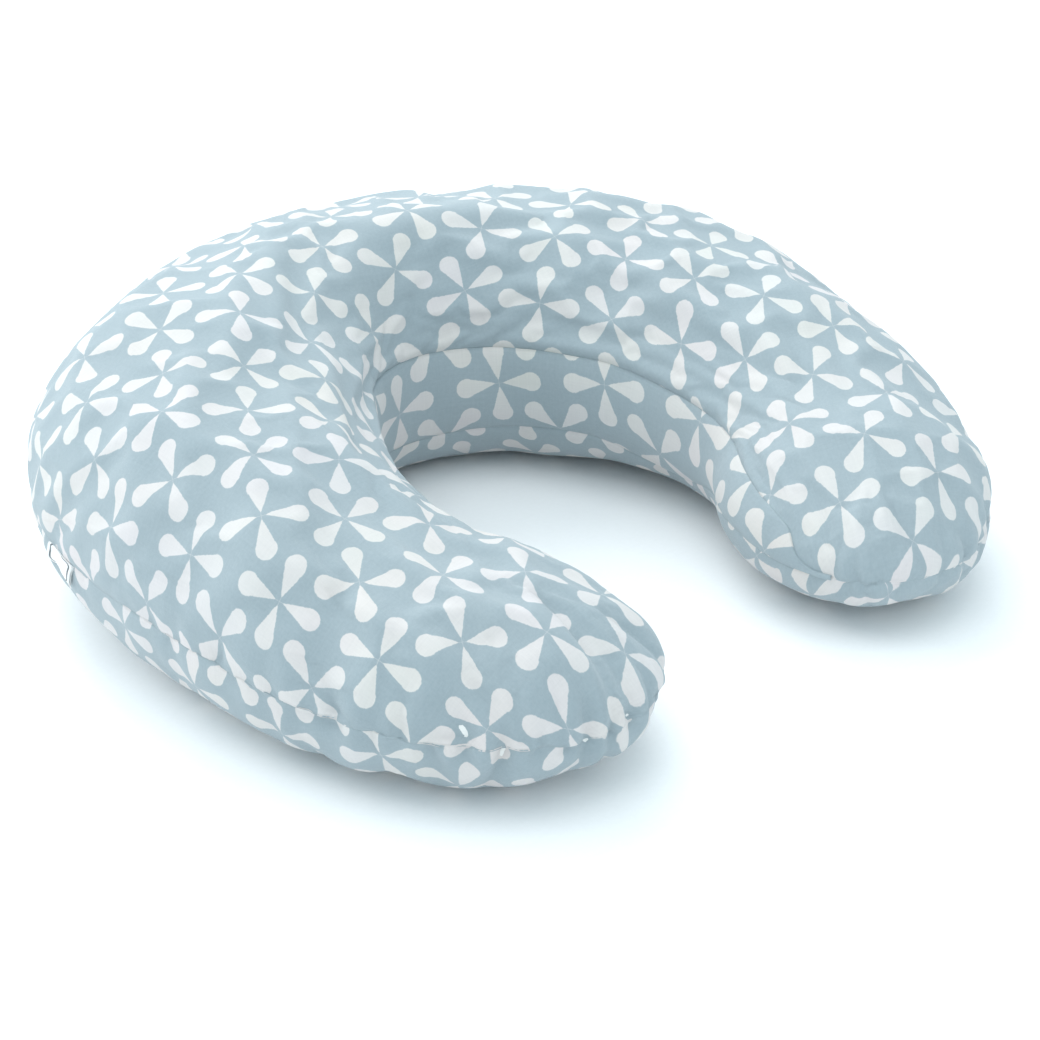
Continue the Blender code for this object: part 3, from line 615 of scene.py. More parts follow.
for name, node, first, last in (
        ("case_seam_left", "inner_case_thread_left", -TIP_END, -CASE_OPENING - 0.001),
        ("case_seam_right", "inner_case_thread_right", CASE_OPENING + 0.001, TIP_END)):
    stitched(name, case_run(first, last), white_thread, node)
stitched("case_closing", case_run(0.001 - CASE_OPENING, CASE_OPENING - 0.001), white_thread,
         "inner_case_closing_stitch", pitch=0.0022, length=0.0030)

# PRINTED COTTON COVER
# Three pieces of light printed cotton: an upper C, a lower C and a gusset strip down the inner wall.
# They are cut flat, eased and sewn together inside out, so every edge turns in at its seam.

COVER_ROWS = 470
FLAT_BACK_BEND = {-1.0: 0.855, 1.0: 0.648}     # the flat cut bends less than the stuffed pillow does
FLAT_ARM_BEND = {-1.0: 0.940, 1.0: 0.904}
FLAT_ARM_EASE = {-1.0: 1.245, 1.0: 1.097}      # and its arms are longer, which is what gathers them
FLAT_WIDTH_EASE = 1.138


def flat_line(side):
    """The middle line of the flat cut on one side: lengths on the pillow, then x, y and heading in the cloth."""
    lengths = np.linspace(0, TIP_END, 1200)
    step = lengths[1]
    back = 1 - np.clip((lengths - 0.75 * BACK_END) / (0.5 * BACK_END), 0, 1)
    bend = np.interp(lengths, ARM_LINE[0], np.gradient(ARM_LINE[3], ARM_LINE[0]), left=1 / RING_RADIUS)
    bend = np.where(lengths > ARM_END, 0.0, bend) * (back * FLAT_BACK_BEND[side] + (1 - back) * FLAT_ARM_BEND[side])
    heading = np.concatenate([[0], np.cumsum((bend[1:] + bend[:-1]) / 2 * step)])
    middle = (heading[1:] + heading[:-1]) / 2
    ease = (back + (1 - back) * FLAT_ARM_EASE[side])[:-1] * step
    x = np.concatenate([[0], np.cumsum(np.cos(middle) * ease)])
    y = RING_RADIUS - np.concatenate([[0], np.cumsum(np.sin(middle) * ease)])
    return lengths, x, y, heading


FLAT_LINES = {side: flat_line(side) for side in (-1.0, 1.0)}


def in_flat_cloth(cut, out):
    """Where points of a slice lay in the flat cloth, from their distances outwards of its middle."""
    x, y, heading = [np.interp(cut.u, FLAT_LINES[cut.side][0], values) for values in FLAT_LINES[cut.side][1:]]
    out = out * FLAT_WIDTH_EASE
    return np.stack([cut.side * (x + out * math.sin(heading)), y + out * math.cos(heading)], axis=-1)


def cover_rows(kind, places, columns):
    """Points of one cover piece, and for each the place where it lay in the flat cloth."""
    points, cloth = [], []
    shares = np.linspace(0, 1, columns) if kind == "gusset" else crowded(columns, 0.35)
    wall = 0.0
    for k, u in enumerate(places):
        cut = Slice(u)
        if kind == "gusset":
            top = np.pi - cut.over_angle(cut.gusset_top - SEAM_GAP / 2)
            low = np.pi - cut.under_angle(cut.gusset_low + SEAM_GAP / 2)
            over = cut.over(np.linspace(top, np.pi, 40))
            under = cut.under(np.linspace(np.pi, low, 40))
            profile = (np.concatenate([over[0], under[0]]), np.concatenate([over[1], under[1]]))
            across, z, from_crest = along_arc(*profile, shares)
            down = np.interp(-cut.seam, -z, np.linspace(0, 1, columns))
            run = np.concatenate([[0], np.cumsum(np.hypot(np.diff(across), np.diff(z)))])
            down = np.interp(down, np.linspace(0, 1, columns), run) - run
            here = cut.place(-cut.half_in, cut.seam)
            wall += np.linalg.norm(here - before) if k else 0.0
            before = here
            flat = np.stack([np.full(columns, wall), down], axis=-1)
        else:
            if kind == "top":
                first = cut.over_angle(cut.seam + cut.slot_half())
                last = np.pi - cut.over_angle(cut.gusset_top + SEAM_GAP / 2)
            else:
                first = cut.under_angle(cut.seam - cut.slot_half())
                last = np.pi - cut.under_angle(cut.gusset_low - SEAM_GAP / 2)
            angles = np.linspace(first, last, 301)
            across, z, from_crest = along_arc(*(cut.over if kind == "top" else cut.under)(angles), shares)
            flat = in_flat_cloth(cut, from_crest)
        points.append(cut.place(across, z))
        cloth.append(flat)
    return np.array(points), np.array(cloth)


def surface_normals(points, places, outwards):
    """Outward normals, with a level one at the points of both tips."""
    normal = grid_normals(points) * outwards
    for row, u in ((0, places[0]), (-1, places[-1])):
        if abs(u) > TIP_END - 1e-9:
            cut = Slice(u)
            normal[row] = (cut.side * math.cos(cut.heading), -math.sin(cut.heading), 0.0)
    return normal


cover_places = length_places(COVER_ROWS)
gusset_places = length_places(400, GUSSET_END, 0.0)
cuts = [Slice(u) for u in cover_places]
outer_line = [cut.place(cut.half_out, cut.seam) for cut in cuts]
left_back = [cut.place(-cut.half_in, cut.seam) for cut, u in zip(cuts, cover_places) if u < -GUSSET_END]
right_back = [cut.place(-cut.half_in, cut.seam) for cut, u in zip(cuts, cover_places) if u > GUSSET_END]
outer_seam = seam_tree(np.array(left_back[::-1] + outer_line + right_back[::-1]))


def gusset_line(height):
    cuts = [Slice(u) for u in gusset_places]
    line = []
    for cut in cuts:
        z = height(cut)
        if z > cut.top_seam:
            across, _ = cut.over(np.array(np.pi - cut.over_angle(z)))
        else:
            across, _ = cut.under(np.array(np.pi - cut.under_angle(z)))
        line.append(cut.place(across, z))
    return np.array(line)


upper_seam = seam_tree(gusset_line(lambda cut: cut.gusset_top))
lower_seam = seam_tree(gusset_line(lambda cut: cut.gusset_low))


def seam_pull(away, depth, reach):
    return -depth * np.exp(-(away / reach) ** 1.2)


TUCKED = 0.490          # the middle of the tucked stretch, along the left arm
TUCK_PITCH = 0.0165
TUCK_DEPTH = 0.0125
TUCK_LIMIT = 0.0060
TUCK_REACHES = {"top": 0.034, "low": 0.026}
TUCK_SEED = 33


def tucks(kind, points, places):
    """The deep tucks that the seam round each tip pulls into a panel, most of all round the left one."""
    away, along = from_seam(points, outer_seam)
    left = np.exp(-(((places + TUCKED) / 0.085) ** 2))
    right = 0.55 * np.exp(-(((places - TUCKED - 0.02) / 0.075) ** 2))
    folds = gathers(away, along, outer_seam[1][-1], TUCK_PITCH, TUCK_DEPTH, TUCK_REACHES[kind], TUCK_SEED)
    return (left + right)[:, None] * TUCK_LIMIT * np.tanh(folds / TUCK_LIMIT)


def relief(kind, points, places):
    """How far each point of a cover piece stands out from, or sinks into, its smooth shape."""
    away, along = from_seam(points, outer_seam)
    near_upper, along_upper = from_seam(points, upper_seam)
    near_lower, along_lower = from_seam(points, lower_seam)
    tightness = smooth_step((np.abs(places) - SLOT_CLOSED) / 0.05)[:, None]
    towards_tip = smooth_step((np.abs(places) - BACK_END) / (ARM_END - BACK_END))[:, None]
    left_tip = towards_tip * (places < 0)[:, None]
    depth = 0.0004 + 0.0010 * tightness + 0.0016 * towards_tip + 0.0030 * left_tip
    seam_length = outer_seam[1][-1]
    shape = seam_pull(away, 0.0036, 0.0060) * tightness
    shape += depth / 0.001 * gathers(away, along, seam_length, 0.0135, 0.001, 0.017, 21 if kind == "top" else 22)
    shape += depth / 0.001 * gathers(away, along, seam_length, 0.045, 0.0011, 0.042, 31 if kind == "top" else 32)
    inside = smooth_step(away / 0.020)
    for gap, run, seed in ((near_upper, along_upper, 41), (near_lower, along_lower, 42)):
        shape += seam_pull(gap, 0.0011, 0.0035) * inside
        length = upper_seam[1][-1]
        shape += gathers(gap, run, length, 0.020, 0.0009, 0.013, seed + (kind == "gusset")) * inside
    calm = np.clip(np.minimum(np.minimum(away, near_upper), near_lower) / 0.025, 0, 1)
    shape += calm * (lumps(points, 0.110, 51) * 0.0012 + lumps(points, 0.042, 52) * 0.0004)
    return shape


EASE_MOST = 0.0035      # how far the simulated cloth may leave its smooth shape
EASE_ALONG = 0.25       # share of its movement along the surface that is kept
EASE_STEPS = 32
EASE_FRAMES = {"top": 18, "low": 14}
BROAD_REACH = 14


def eased(points, normals, ease, frames):
    """The cloth after its extra length near the seams has buckled into tucks, with its seams held still."""
    rows, columns = points.shape[:2]
    inner = points[1:-1]
    sheet = bpy.data.meshes.new("easing")
    sheet.from_pydata(inner.reshape(-1, 3).tolist(), [], grid_faces(rows - 2, columns, True).tolist())
    piece = bpy.data.objects.new("easing", sheet)
    scene.collection.objects.link(piece)
    held = np.zeros((rows - 2, columns))
    held[:, 0] = held[:, -1] = held[:2] = held[-2:] = 1.0
    for name, weights in (("held", held), ("ease", ease[1:-1])):
        group = piece.vertex_groups.new(name=name)
        steps = np.round(weights.ravel() * EASE_STEPS).astype(int)
        for step in range(1, EASE_STEPS + 1):
            chosen = np.flatnonzero(steps == step).tolist()
            if chosen:
                group.add(chosen, step / EASE_STEPS, "REPLACE")
    change = piece.modifiers.new("cloth", "CLOTH")
    cotton = change.settings
    cotton.quality = 5
    cotton.mass = 0.02
    cotton.tension_stiffness = 20
    cotton.compression_stiffness = 20
    cotton.shear_stiffness = 5
    cotton.bending_stiffness = 0.02
    cotton.tension_damping = cotton.compression_damping = cotton.shear_damping = 5
    cotton.use_pressure = True
    cotton.uniform_pressure_force = 4
    cotton.vertex_group_mass = "held"
    cotton.vertex_group_shrink = "ease"
    cotton.shrink_min = 0.0
    cotton.shrink_max = -0.15
    cotton.effector_weights.gravity = 0
    change.collision_settings.use_collision = False
    change.point_cache.frame_end = frames
    for frame_number in range(1, frames + 1):
        scene.frame_set(frame_number)
    graph = bpy.context.evaluated_depsgraph_get()
    moved = np.zeros(len(sheet.vertices) * 3)
    piece.evaluated_get(graph).data.vertices.foreach_get("co", moved)
    scene.frame_set(1)
    bpy.data.objects.remove(piece)
    shift = np.zeros_like(points)
    shift[1:-1] = moved.reshape(inner.shape) - inner
    shift -= blurred(blurred(shift, BROAD_REACH), BROAD_REACH)
    rise = (shift * normals).sum(axis=-1, keepdims=True)
    return points + normals * EASE_MOST * np.tanh(rise / EASE_MOST) + EASE_ALONG * (shift - normals * rise)


def blurred(field, reach):
    """A running average over a grid, along both its directions."""
    for axis, width in ((0, reach), (1, reach // 2)):
        pad = [(0, 0)] * field.ndim
        pad[axis] = (width + 1, width)
        total = np.cumsum(np.pad(field, pad, mode="edge"), axis=axis)
        count = field.shape[axis]
        late = np.take(total, np.arange(2 * width + 1, 2 * width + 1 + count), axis=axis)
        field = (late - np.take(total, np.arange(count), axis=axis)) / (2 * width + 1)
    return field


SEAM_TURN = 0.0012              # how deep the cloth turns in at a seam, and how deep its cut edge lies
CUT_EDGE_DEPTH = 0.0060


def turned_in(points, normals, cloth):
    """Adds the seam allowance to both long edges of a cover piece."""
    sides = []
    for side, step in ((0, -1), (-1, 1)):
        edge, facing, place = points[:, side], normals[:, side], cloth[:, side]
        away = cloth[:, side] - cloth[:, side + (1 if side == 0 else -1)]
        away /= np.maximum(np.linalg.norm(away, axis=-1, keepdims=True), 1e-9)
        sides.append([(edge - facing * deep, place + away * deep) for deep in (SEAM_TURN, CUT_EDGE_DEPTH)])
    (o1, oc1), (o2, oc2) = sides[0]
    (i1, ic1), (i2, ic2) = sides[1]
    points = np.concatenate([o2[:, None], o1[:, None], points, i1[:, None], i2[:, None]], axis=1)
    cloth = np.concatenate([oc2[:, None], oc1[:, None], cloth, ic1[:, None], ic2[:, None]], axis=1)
    return points, cloth


PRINT_PITCH = 0.0541


def print_group():
    """Flowers of four petals on a square grid, every second one turned by an eighth."""
    group = bpy.data.node_groups.new("flower_print", "ShaderNodeTree")
    face = group.interface
    face.new_socket("Cloth", in_out="INPUT", socket_type="NodeSocketVector")
    for name in ("Pitch", "Turn", "Petal Start", "Petal Middle", "Petal Radius", "Edge"):
        face.new_socket(name, in_out="INPUT", socket_type="NodeSocketFloat")
    face.new_socket("Origin", in_out="INPUT", socket_type="NodeSocketVector")
    face.new_socket("Petals", in_out="OUTPUT", socket_type="NodeSocketFloat")
    add = node_maker(group)
    calc = partial(math_node, add)
    enter = add("NodeGroupInput")
    leave = add("NodeGroupOutput")
    start, middle, radius = [enter.outputs[name] for name in ("Petal Start", "Petal Middle", "Petal Radius")]
    centred = add("ShaderNodeVectorMath", {"operation": "SUBTRACT"}, i0=enter.outputs["Cloth"],
                  i1=enter.outputs["Origin"])
    turned = add("ShaderNodeVectorRotate", {"rotation_type": "Z_AXIS"}, Vector=centred.outputs[0],
                 Angle=enter.outputs["Turn"])
    parts = add("ShaderNodeSeparateXYZ", Vector=turned.outputs[0])
    a, b = [calc("DIVIDE", parts.outputs[k], enter.outputs["Pitch"]) for k in (0, 1)]
    masks = []
    for shift, eighth in ((0.0, False), (1.0, True)):
        moved = calc("ADD", a, shift)
        total = calc("MULTIPLY", calc("ADD", moved, b), 0.5)
        gap = calc("MULTIPLY", calc("SUBTRACT", moved, b), 0.5)
        local = [calc("SUBTRACT", value, calc("ROUND", value)) for value in (total, gap)]
        if eighth:
            x, y = [calc("MULTIPLY", value, math.sqrt(2)) for value in local]
        else:
            x = calc("ADD", local[0], local[1])
            y = calc("SUBTRACT", local[0], local[1])
        x, y = calc("ABSOLUTE", x), calc("ABSOLUTE", y)
        out, side = calc("MAXIMUM", x, y), calc("MINIMUM", x, y)
        past = calc("SUBTRACT", out, middle)
        square = calc("ADD", calc("MULTIPLY", past, past), calc("MULTIPLY", side, side))
        round_end = calc("SUBTRACT", calc("SQRT", square), radius)
        length = calc("SUBTRACT", middle, start)
        run = calc("DIVIDE", calc("SUBTRACT", out, start), length)
        belly = calc("POWER", calc("MAXIMUM", run, 0.0), 0.86)
        width = calc("MULTIPLY", radius, 0.99)
        cone = calc("SUBTRACT", side, calc("MULTIPLY", belly, width))
        leaf = calc("MAXIMUM", cone, past)
        masks.append(calc("MINIMUM", leaf, round_end))
    nearest = calc("MINIMUM", masks[0], masks[1])
    edge = calc("DIVIDE", nearest, enter.outputs["Edge"])
    mask = calc("SUBTRACT", 0.5, edge, clamp=True)
    group.links.new(mask, leave.inputs["Petals"])
    return group


flower_print = print_group()


def printed_cotton():
    material, add, dress = new_material("printed_cotton")
    calc = partial(math_node, add)
    cloth = add("ShaderNodeTexCoord").outputs["UV"]
    place = add("ShaderNodeTexCoord").outputs["Object"]
    weave = add("ShaderNodeGroup", {"node_tree": plain_weave}, Cloth=cloth, Thread_Pitch=0.00045)
    jitter = add("ShaderNodeTexNoise", Vector=cloth, Scale=700.0, Detail=1.0)
    jitter = add("ShaderNodeVectorMath", {"operation": "SUBTRACT"}, i0=jitter.outputs["Color"], i1=(0.5, 0.5, 0.5))
    jitter = add("ShaderNodeVectorMath", {"operation": "SCALE"}, i0=jitter.outputs[0], Scale=0.0008)
    bleed = add("ShaderNodeVectorMath", {"operation": "ADD"}, i0=cloth, i1=jitter.outputs[0])
    petals = add("ShaderNodeGroup", {"node_tree": flower_print}, Cloth=bleed.outputs[0], Pitch=PRINT_PITCH,
                 Turn=math.radians(36.97), Petal_Start=0.05, Petal_Middle=0.42, Petal_Radius=0.13, Edge=0.010,
                 Origin=(-0.293, 0.0179, 0.0)).outputs["Petals"]
    clouds = add("ShaderNodeTexNoise", Vector=place, Scale=9.0, Detail=3.0, Roughness=0.55).outputs["Fac"]
    mottle = add("ShaderNodeTexNoise", Vector=cloth, Scale=420.0, Detail=3.0, Roughness=0.7).outputs["Fac"]
    ground = ramp_node(add, clouds, [(0.30, (0.352, 0.424, 0.460)), (0.70, (0.388, 0.456, 0.490))])
    grain = ramp_node(add, mottle, [(0.25, (0.88, 0.90, 0.91)), (0.75, (1.04, 1.03, 1.02))])
    ground = add("ShaderNodeMix", {"data_type": "RGBA", "blend_type": "MULTIPLY"}, Factor=0.8, i6=ground, i7=grain)
    tints = add("ShaderNodeTexNoise", Vector=place, Scale=14.0, Detail=1.0).outputs["Color"]
    tint = add("ShaderNodeMix", {"data_type": "RGBA"}, Factor=0.06, i6=(0.735, 0.705, 0.688, 1.0), i7=tints)
    white = add("ShaderNodeMix", {"data_type": "RGBA", "blend_type": "MULTIPLY"}, Factor=0.25,
                i6=tint.outputs[2], i7=grain)
    dyed = add("ShaderNodeMix", {"data_type": "RGBA"}, Factor=petals, i6=ground.outputs[2], i7=white.outputs[2])
    slub = ramp_node(add, weave.outputs["Slub"], [(0.3, (0.94, 0.94, 0.94)), (0.7, (1.0, 1.0, 1.0))])
    colour = add("ShaderNodeMix", {"data_type": "RGBA", "blend_type": "MULTIPLY"}, Factor=1.0,
                 i6=dyed.outputs[2], i7=slub)
    height = calc("ADD", weave.outputs["Height"], calc("MULTIPLY", mottle, 0.6))
    bump = add("ShaderNodeBump", Height=height, Distance=0.00012, Strength=0.55)
    creases = add("ShaderNodeTexNoise", Vector=place, Scale=55.0, Detail=3.0, Roughness=0.5).outputs["Fac"]
    soft = add("ShaderNodeBump", Height=creases, Distance=0.0011, Strength=0.35, Normal=bump.outputs[0])
    dress(Base_Color=colour.outputs[2], Normal=soft.outputs[0], Roughness=0.86, Sheen_Weight=0.25,
          Sheen_Roughness=0.5, Specular_IOR_Level=0.25)
    return material


cover_cotton = printed_cotton()
COVER_PIECES = (
    ("top", "cover_upper_panel", "cover_top_panel", cover_places, 100, 1.0),
    ("low", "cover_lower_panel", "cover_bottom_panel", length_places(410), 84, -1.0),
    ("gusset", "cover_gusset", "cover_inner_gusset", gusset_places, 26, 1.0),
)
PRINT_SHIFTS = {"top": (0.0, 0.0), "low": (0.021, 0.012), "gusset": (0.013, 0.004)}
COVER_THICKNESS = 0.0008
COVER_LOWEST = 0.0009          # keeps the cloth's underside above the floor
cover_shapes = {}
for kind, name, node, places, columns, outwards in COVER_PIECES:
    points, cloth = cover_rows(kind, places, columns)
    normals = surface_normals(points, places, outwards)
    points = points + normals * relief(kind, points, places)[..., None]
    if kind != "gusset":
        away, _ = from_seam(points, outer_seam)
        near, _ = from_seam(points, upper_seam if kind == "top" else lower_seam)
        along = np.abs(places)[:, None]
        gathered = 0.35 + 0.35 * smooth_step((along - BACK_END) / ARM_LENGTH) + 0.3 * (places < 0)[:, None]
        gathered = gathered * smooth_step((along - SLOT_CLOSED + 0.02) / 0.05)
        ease = np.maximum(gathered * np.exp(-(away / 0.034) ** 2), 0.5 * np.exp(-(near / 0.020) ** 2))
        ease = np.clip(ease * (1 + 0.6 * lumps(points, 0.05, 61)), 0, 1)
        points = eased(points, normals, ease, EASE_FRAMES[kind])
    if kind != "gusset":
        points = points + normals * tucks(kind, points, places)[..., None]
    points[..., 2] = np.maximum(points[..., 2], COVER_LOWEST)
    facing = surface_normals(points, places, outwards)
    cover_shapes[kind] = (places, points, facing)
    points, cloth = turned_in(points, normals, cloth + PRINT_SHIFTS[kind])
    piece = to_mesh(name, points, grid_faces(*points.shape[:2], outwards > 0), cloth)
    piece.data.materials.append(cover_cotton)
    piece = thickened(piece, COVER_THICKNESS)
    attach(piece, "pillow")
    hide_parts(node)

# COVER THREADS
# Blue-grey polyester thread: the outer seam's lock stitch, and a line of top stitching beside each gusset seam.
# The top stitching shows as a row of short stitches just outside the seam.

cover_thread = thread_material("cover_thread", (0.42, 0.53, 0.61))


def beside_edge(kind, column, distance, lift=0.0002):
    """A line on a cover piece, at a distance from one of its long edges."""
    places, points, facing = cover_shapes[kind]
    line = []
    for row, normal in zip(points, facing):
        run = row[::-1] if column == -1 else row
        gap = np.concatenate([[0], np.cumsum(np.linalg.norm(np.diff(run, axis=0), axis=1))])
        here = [np.interp(distance, gap, run[:, k]) for k in range(3)]
        line.append(np.array(here) + normal[column] * lift)
    return places, np.array(line)


places, edge = beside_edge("top", 0, 0.0)
inner_places, inner_edge = beside_edge("top", -1, 0.0)
for side, name in ((-1, "left"), (1, "right")):
    run = edge[side * places > SLOT_CLOSED]
    back = inner_edge[side * inner_places > GUSSET_END]
    path = np.concatenate([run, back[::-1]]) if side > 0 else np.concatenate([run[::-1], back])
    stitched("outer_seam_stitches_" + name, path, cover_thread, "outer_seam_thread_" + name,
             pitch=0.0025, length=0.0022, radius=0.00022)
for kind, name, node in (("top", "gusset_upper_stitches", "gusset_top_stitch"),
                         ("low", "gusset_lower_stitches", "gusset_bottom_stitch")):
    places, line = beside_edge(kind, -1, 0.0016)
    line = line[np.abs(places) < GUSSET_END - 0.004]
    stitched(name, line, cover_thread, node, pitch=0.0032, length=0.0024, radius=0.00028)

# ZIP
# Nylon coil zip in the back of the outer seam: two woven tapes, two rows of coil teeth, metal stops,
# a bar tack at each end, and a die-cast slider with a flat pull tab.

TAPE_RADIUS = SEAM_RADIUS - 0.0005


def zip_place(angle, depth, height):
    radius = TAPE_RADIUS + depth
    return np.stack([radius * np.sin(angle), radius * np.cos(angle) + RING_CENTRE_Y,
                     SEAM_HEIGHT + height + 0 * angle], axis=-1)


def tape_material():
    material, add, dress = new_material("zip_tape_weave")
    calc = partial(math_node, add)
    cloth = add("ShaderNodeTexCoord").outputs["UV"]
    rib = add("ShaderNodeTexWave", {"bands_direction": "Y"}, Vector=cloth, Scale=280.0, Distortion=0.3)
    weave = add("ShaderNodeGroup", {"node_tree": plain_weave}, Cloth=cloth, Thread_Pitch=0.0005)
    both = calc("ADD", weave.outputs["Height"], rib.outputs["Fac"])
    # The tape's blue darkens in the rib and weave grooves, in step with its bump: painted shade.
    shade = ramp_node(add, calc("MULTIPLY", both, 0.5), [(0.1, (0.47, 0.58, 0.65)), (0.8, (0.62, 0.73, 0.79))])
    dress(Base_Color=shade, bump=(both, 0.0002, 0.7), Roughness=0.8)
    return material


zip_tape = tape_material()
angles = np.linspace(-ZIP_HALF_ANGLE, ZIP_HALF_ANGLE, 260)
TAPE_PROFILE = ((0.0, 0.0030), (0.0, 0.0050), (0.0, 0.0066), (-0.0012, 0.0078), (-0.0019, 0.0095), (-0.0019, 0.0120))
for sign, half in ((1, "upper"), (-1, "lower")):
    points = np.stack([zip_place(angles, depth, sign * height) for depth, height in TAPE_PROFILE], axis=1)
    along = np.broadcast_to((angles * SEAM_RADIUS)[:, None], points.shape[:2])
    over = np.broadcast_to(np.array([height for _, height in TAPE_PROFILE]), points.shape[:2])
    piece = to_mesh("tape_" + half, points, grid_faces(*points.shape[:2], sign > 0), np.stack([along, over], axis=-1))
    piece.data.materials.append(zip_tape)
    piece = thickened(piece, 0.0004)
    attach(piece, "pillow")
    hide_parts("zip_tape_" + half)


def nylon_material():
    material, add, dress = new_material("zip_nylon")
    place = add("ShaderNodeTexCoord").outputs["Object"]
    haze = add("ShaderNodeTexNoise", Vector=place, Scale=1500.0, Detail=2.0).outputs["Fac"]
    dress(Base_Color=ramp_node(add, haze, [(0.3, (0.60, 0.70, 0.76)), (0.7, (0.68, 0.78, 0.83))]),
          Roughness=ramp_node(add, haze, [(0.3, (0.28, 0.28, 0.28)), (0.7, (0.42, 0.42, 0.42))]))
    return material


coil = row_tree("coil_teeth", {"Tooth Pitch": 0.0013, "Tooth Width": 0.001, "Tooth Reach": 0.0022, "Depth": 0.0016},
                10, 7, (("Depth", 1.0), ("Tooth Reach", 1.0), ("Tooth Width", 1.0)), upright=True)
nylon = nylon_material()
CHAIN_ANGLE = ZIP_HALF_ANGLE - 0.0064 / SEAM_RADIUS
for sign, half in ((1, "upper"), (-1, "lower")):
    shift = 0.00065 / SEAM_RADIUS * (sign > 0)
    line = zip_place(np.linspace(-CHAIN_ANGLE + shift, CHAIN_ANGLE, 500), 0.0, sign * 0.0016)
    piece = grown(line_object("coil_" + half, line), coil, Tooth_Pitch=0.0013, Tooth_Width=0.00105,
                  Tooth_Reach=0.0022, Depth=0.0017, Material=nylon)
    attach(piece, "pillow")
    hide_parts("zip_chain_" + half)


def metal_material():
    material, add, dress = new_material("zip_metal")
    place = add("ShaderNodeTexCoord").outputs["Object"]
    rub = add("ShaderNodeTexNoise", Vector=place, Scale=700.0, Detail=4.0, Roughness=0.65).outputs["Fac"]
    dress(Base_Color=ramp_node(add, rub, [(0.3, (0.62, 0.63, 0.65)), (0.7, (0.78, 0.79, 0.80))]),
          Roughness=ramp_node(add, rub, [(0.3, (0.18, 0.18, 0.18)), (0.7, (0.36, 0.36, 0.36))]),
          bump=(rub, 0.0001, 0.25), Metallic=1.0)
    return material


nickel = metal_material()
CAST_PARTS = (
    ("zip_slider_body", "slider_casting", "zip_slider", 0.00035),
    ("zip_pull_tab", "pull_tab_plate", "pull_tab", 0.0003),
    ("zip_top_stop_upper", "top_stop_upper", "pillow", 0.0003),
    ("zip_top_stop_lower", "top_stop_lower", "pillow", 0.0003),
    ("zip_bottom_stop", "bottom_stop", "pillow", 0.0003),
)
for node, name, body, rounding in CAST_PARTS:
    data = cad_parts[node].data.copy()
    weld(data)
    piece = bpy.data.objects.new(name, data)
    scene.collection.objects.link(piece)
    data.materials.clear()
    data.materials.append(nickel)
    flats = piece.modifiers.new("flats", "DECIMATE")
    flats.decimate_type = "DISSOLVE"
    flats.angle_limit = math.radians(1.0)
    edges = piece.modifiers.new("edges", "BEVEL")
    edges.width = rounding
    edges.segments = 3
    edges.limit_method = "ANGLE"
    edges.angle_limit = math.radians(30)
    edges.harden_normals = False
    piece = finished(piece)
    piece.data.shade_smooth()
    piece.data.set_sharp_from_angle(angle=math.radians(35))
    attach(piece, body)
    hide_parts(node)

for sign, name in ((-1, "left"), (1, "right")):
    angle = sign * (ZIP_HALF_ANGLE - 0.00125 / SEAM_RADIUS)
    path = []
    for k in range(17):
        across = 0.0010 * (-1) ** k / SEAM_RADIUS
        path.append(zip_place(np.array(angle + across), 0.0012, -0.0082 + 0.0164 * k / 16))
    piece = grown(line_object("bar_tack_" + name, np.array(path)), stitches, Stitch_Pitch=0.0012,
                  Stitch_Length=0.0022, Thread_Radius=0.00028, Material=cover_thread)
    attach(piece, "pillow")
    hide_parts("zip_bartack_" + name)

# LABELS
# Two folded ribbons of white satin, caught in the outer seam: a small one on the left, and a longer blank
# care label at the back right. Each is one strip folded in half, with its fold hanging down.


def label_material():
    """White satin with a thin dark frame woven round its edge, and nothing inside it."""
    material, add, dress = new_material("label_satin")
    calc = partial(math_node, add)
    cloth = add("ShaderNodeTexCoord").outputs["UV"]
    parts = add("ShaderNodeSeparateXYZ", Vector=cloth)
    over = []
    for k in (0, 1):
        centred = calc("ABSOLUTE", calc("SUBTRACT", parts.outputs[k], 0.5))
        over.append(calc("MAXIMUM", calc("SUBTRACT", centred, 0.26), 0.0))
    corner = calc("SQRT", calc("ADD", calc("MULTIPLY", over[0], over[0]),
                                              calc("MULTIPLY", over[1], over[1])))
    ring = calc("ABSOLUTE", calc("SUBTRACT", corner, 0.155))
    frame_mask = calc("LESS_THAN", ring, 0.022)
    satin = add("ShaderNodeTexWave", {"bands_direction": "Y"}, Vector=cloth, Scale=28.0, Distortion=0.4)
    # The satin is greyer in the valleys of its ribs, in step with its bump: painted shade.
    white = ramp_node(add, satin.outputs["Fac"], [(0.2, (0.86, 0.86, 0.86)), (0.8, (0.95, 0.95, 0.94))])
    colour = add("ShaderNodeMix", {"data_type": "RGBA"}, Factor=frame_mask, i6=white, i7=(0.05, 0.07, 0.09, 1.0))
    dress(Base_Color=colour.outputs[2], bump=(satin.outputs["Fac"], 0.0001, 0.5), Roughness=0.42, Sheen_Weight=0.3)
    return material


label_satin = label_material()


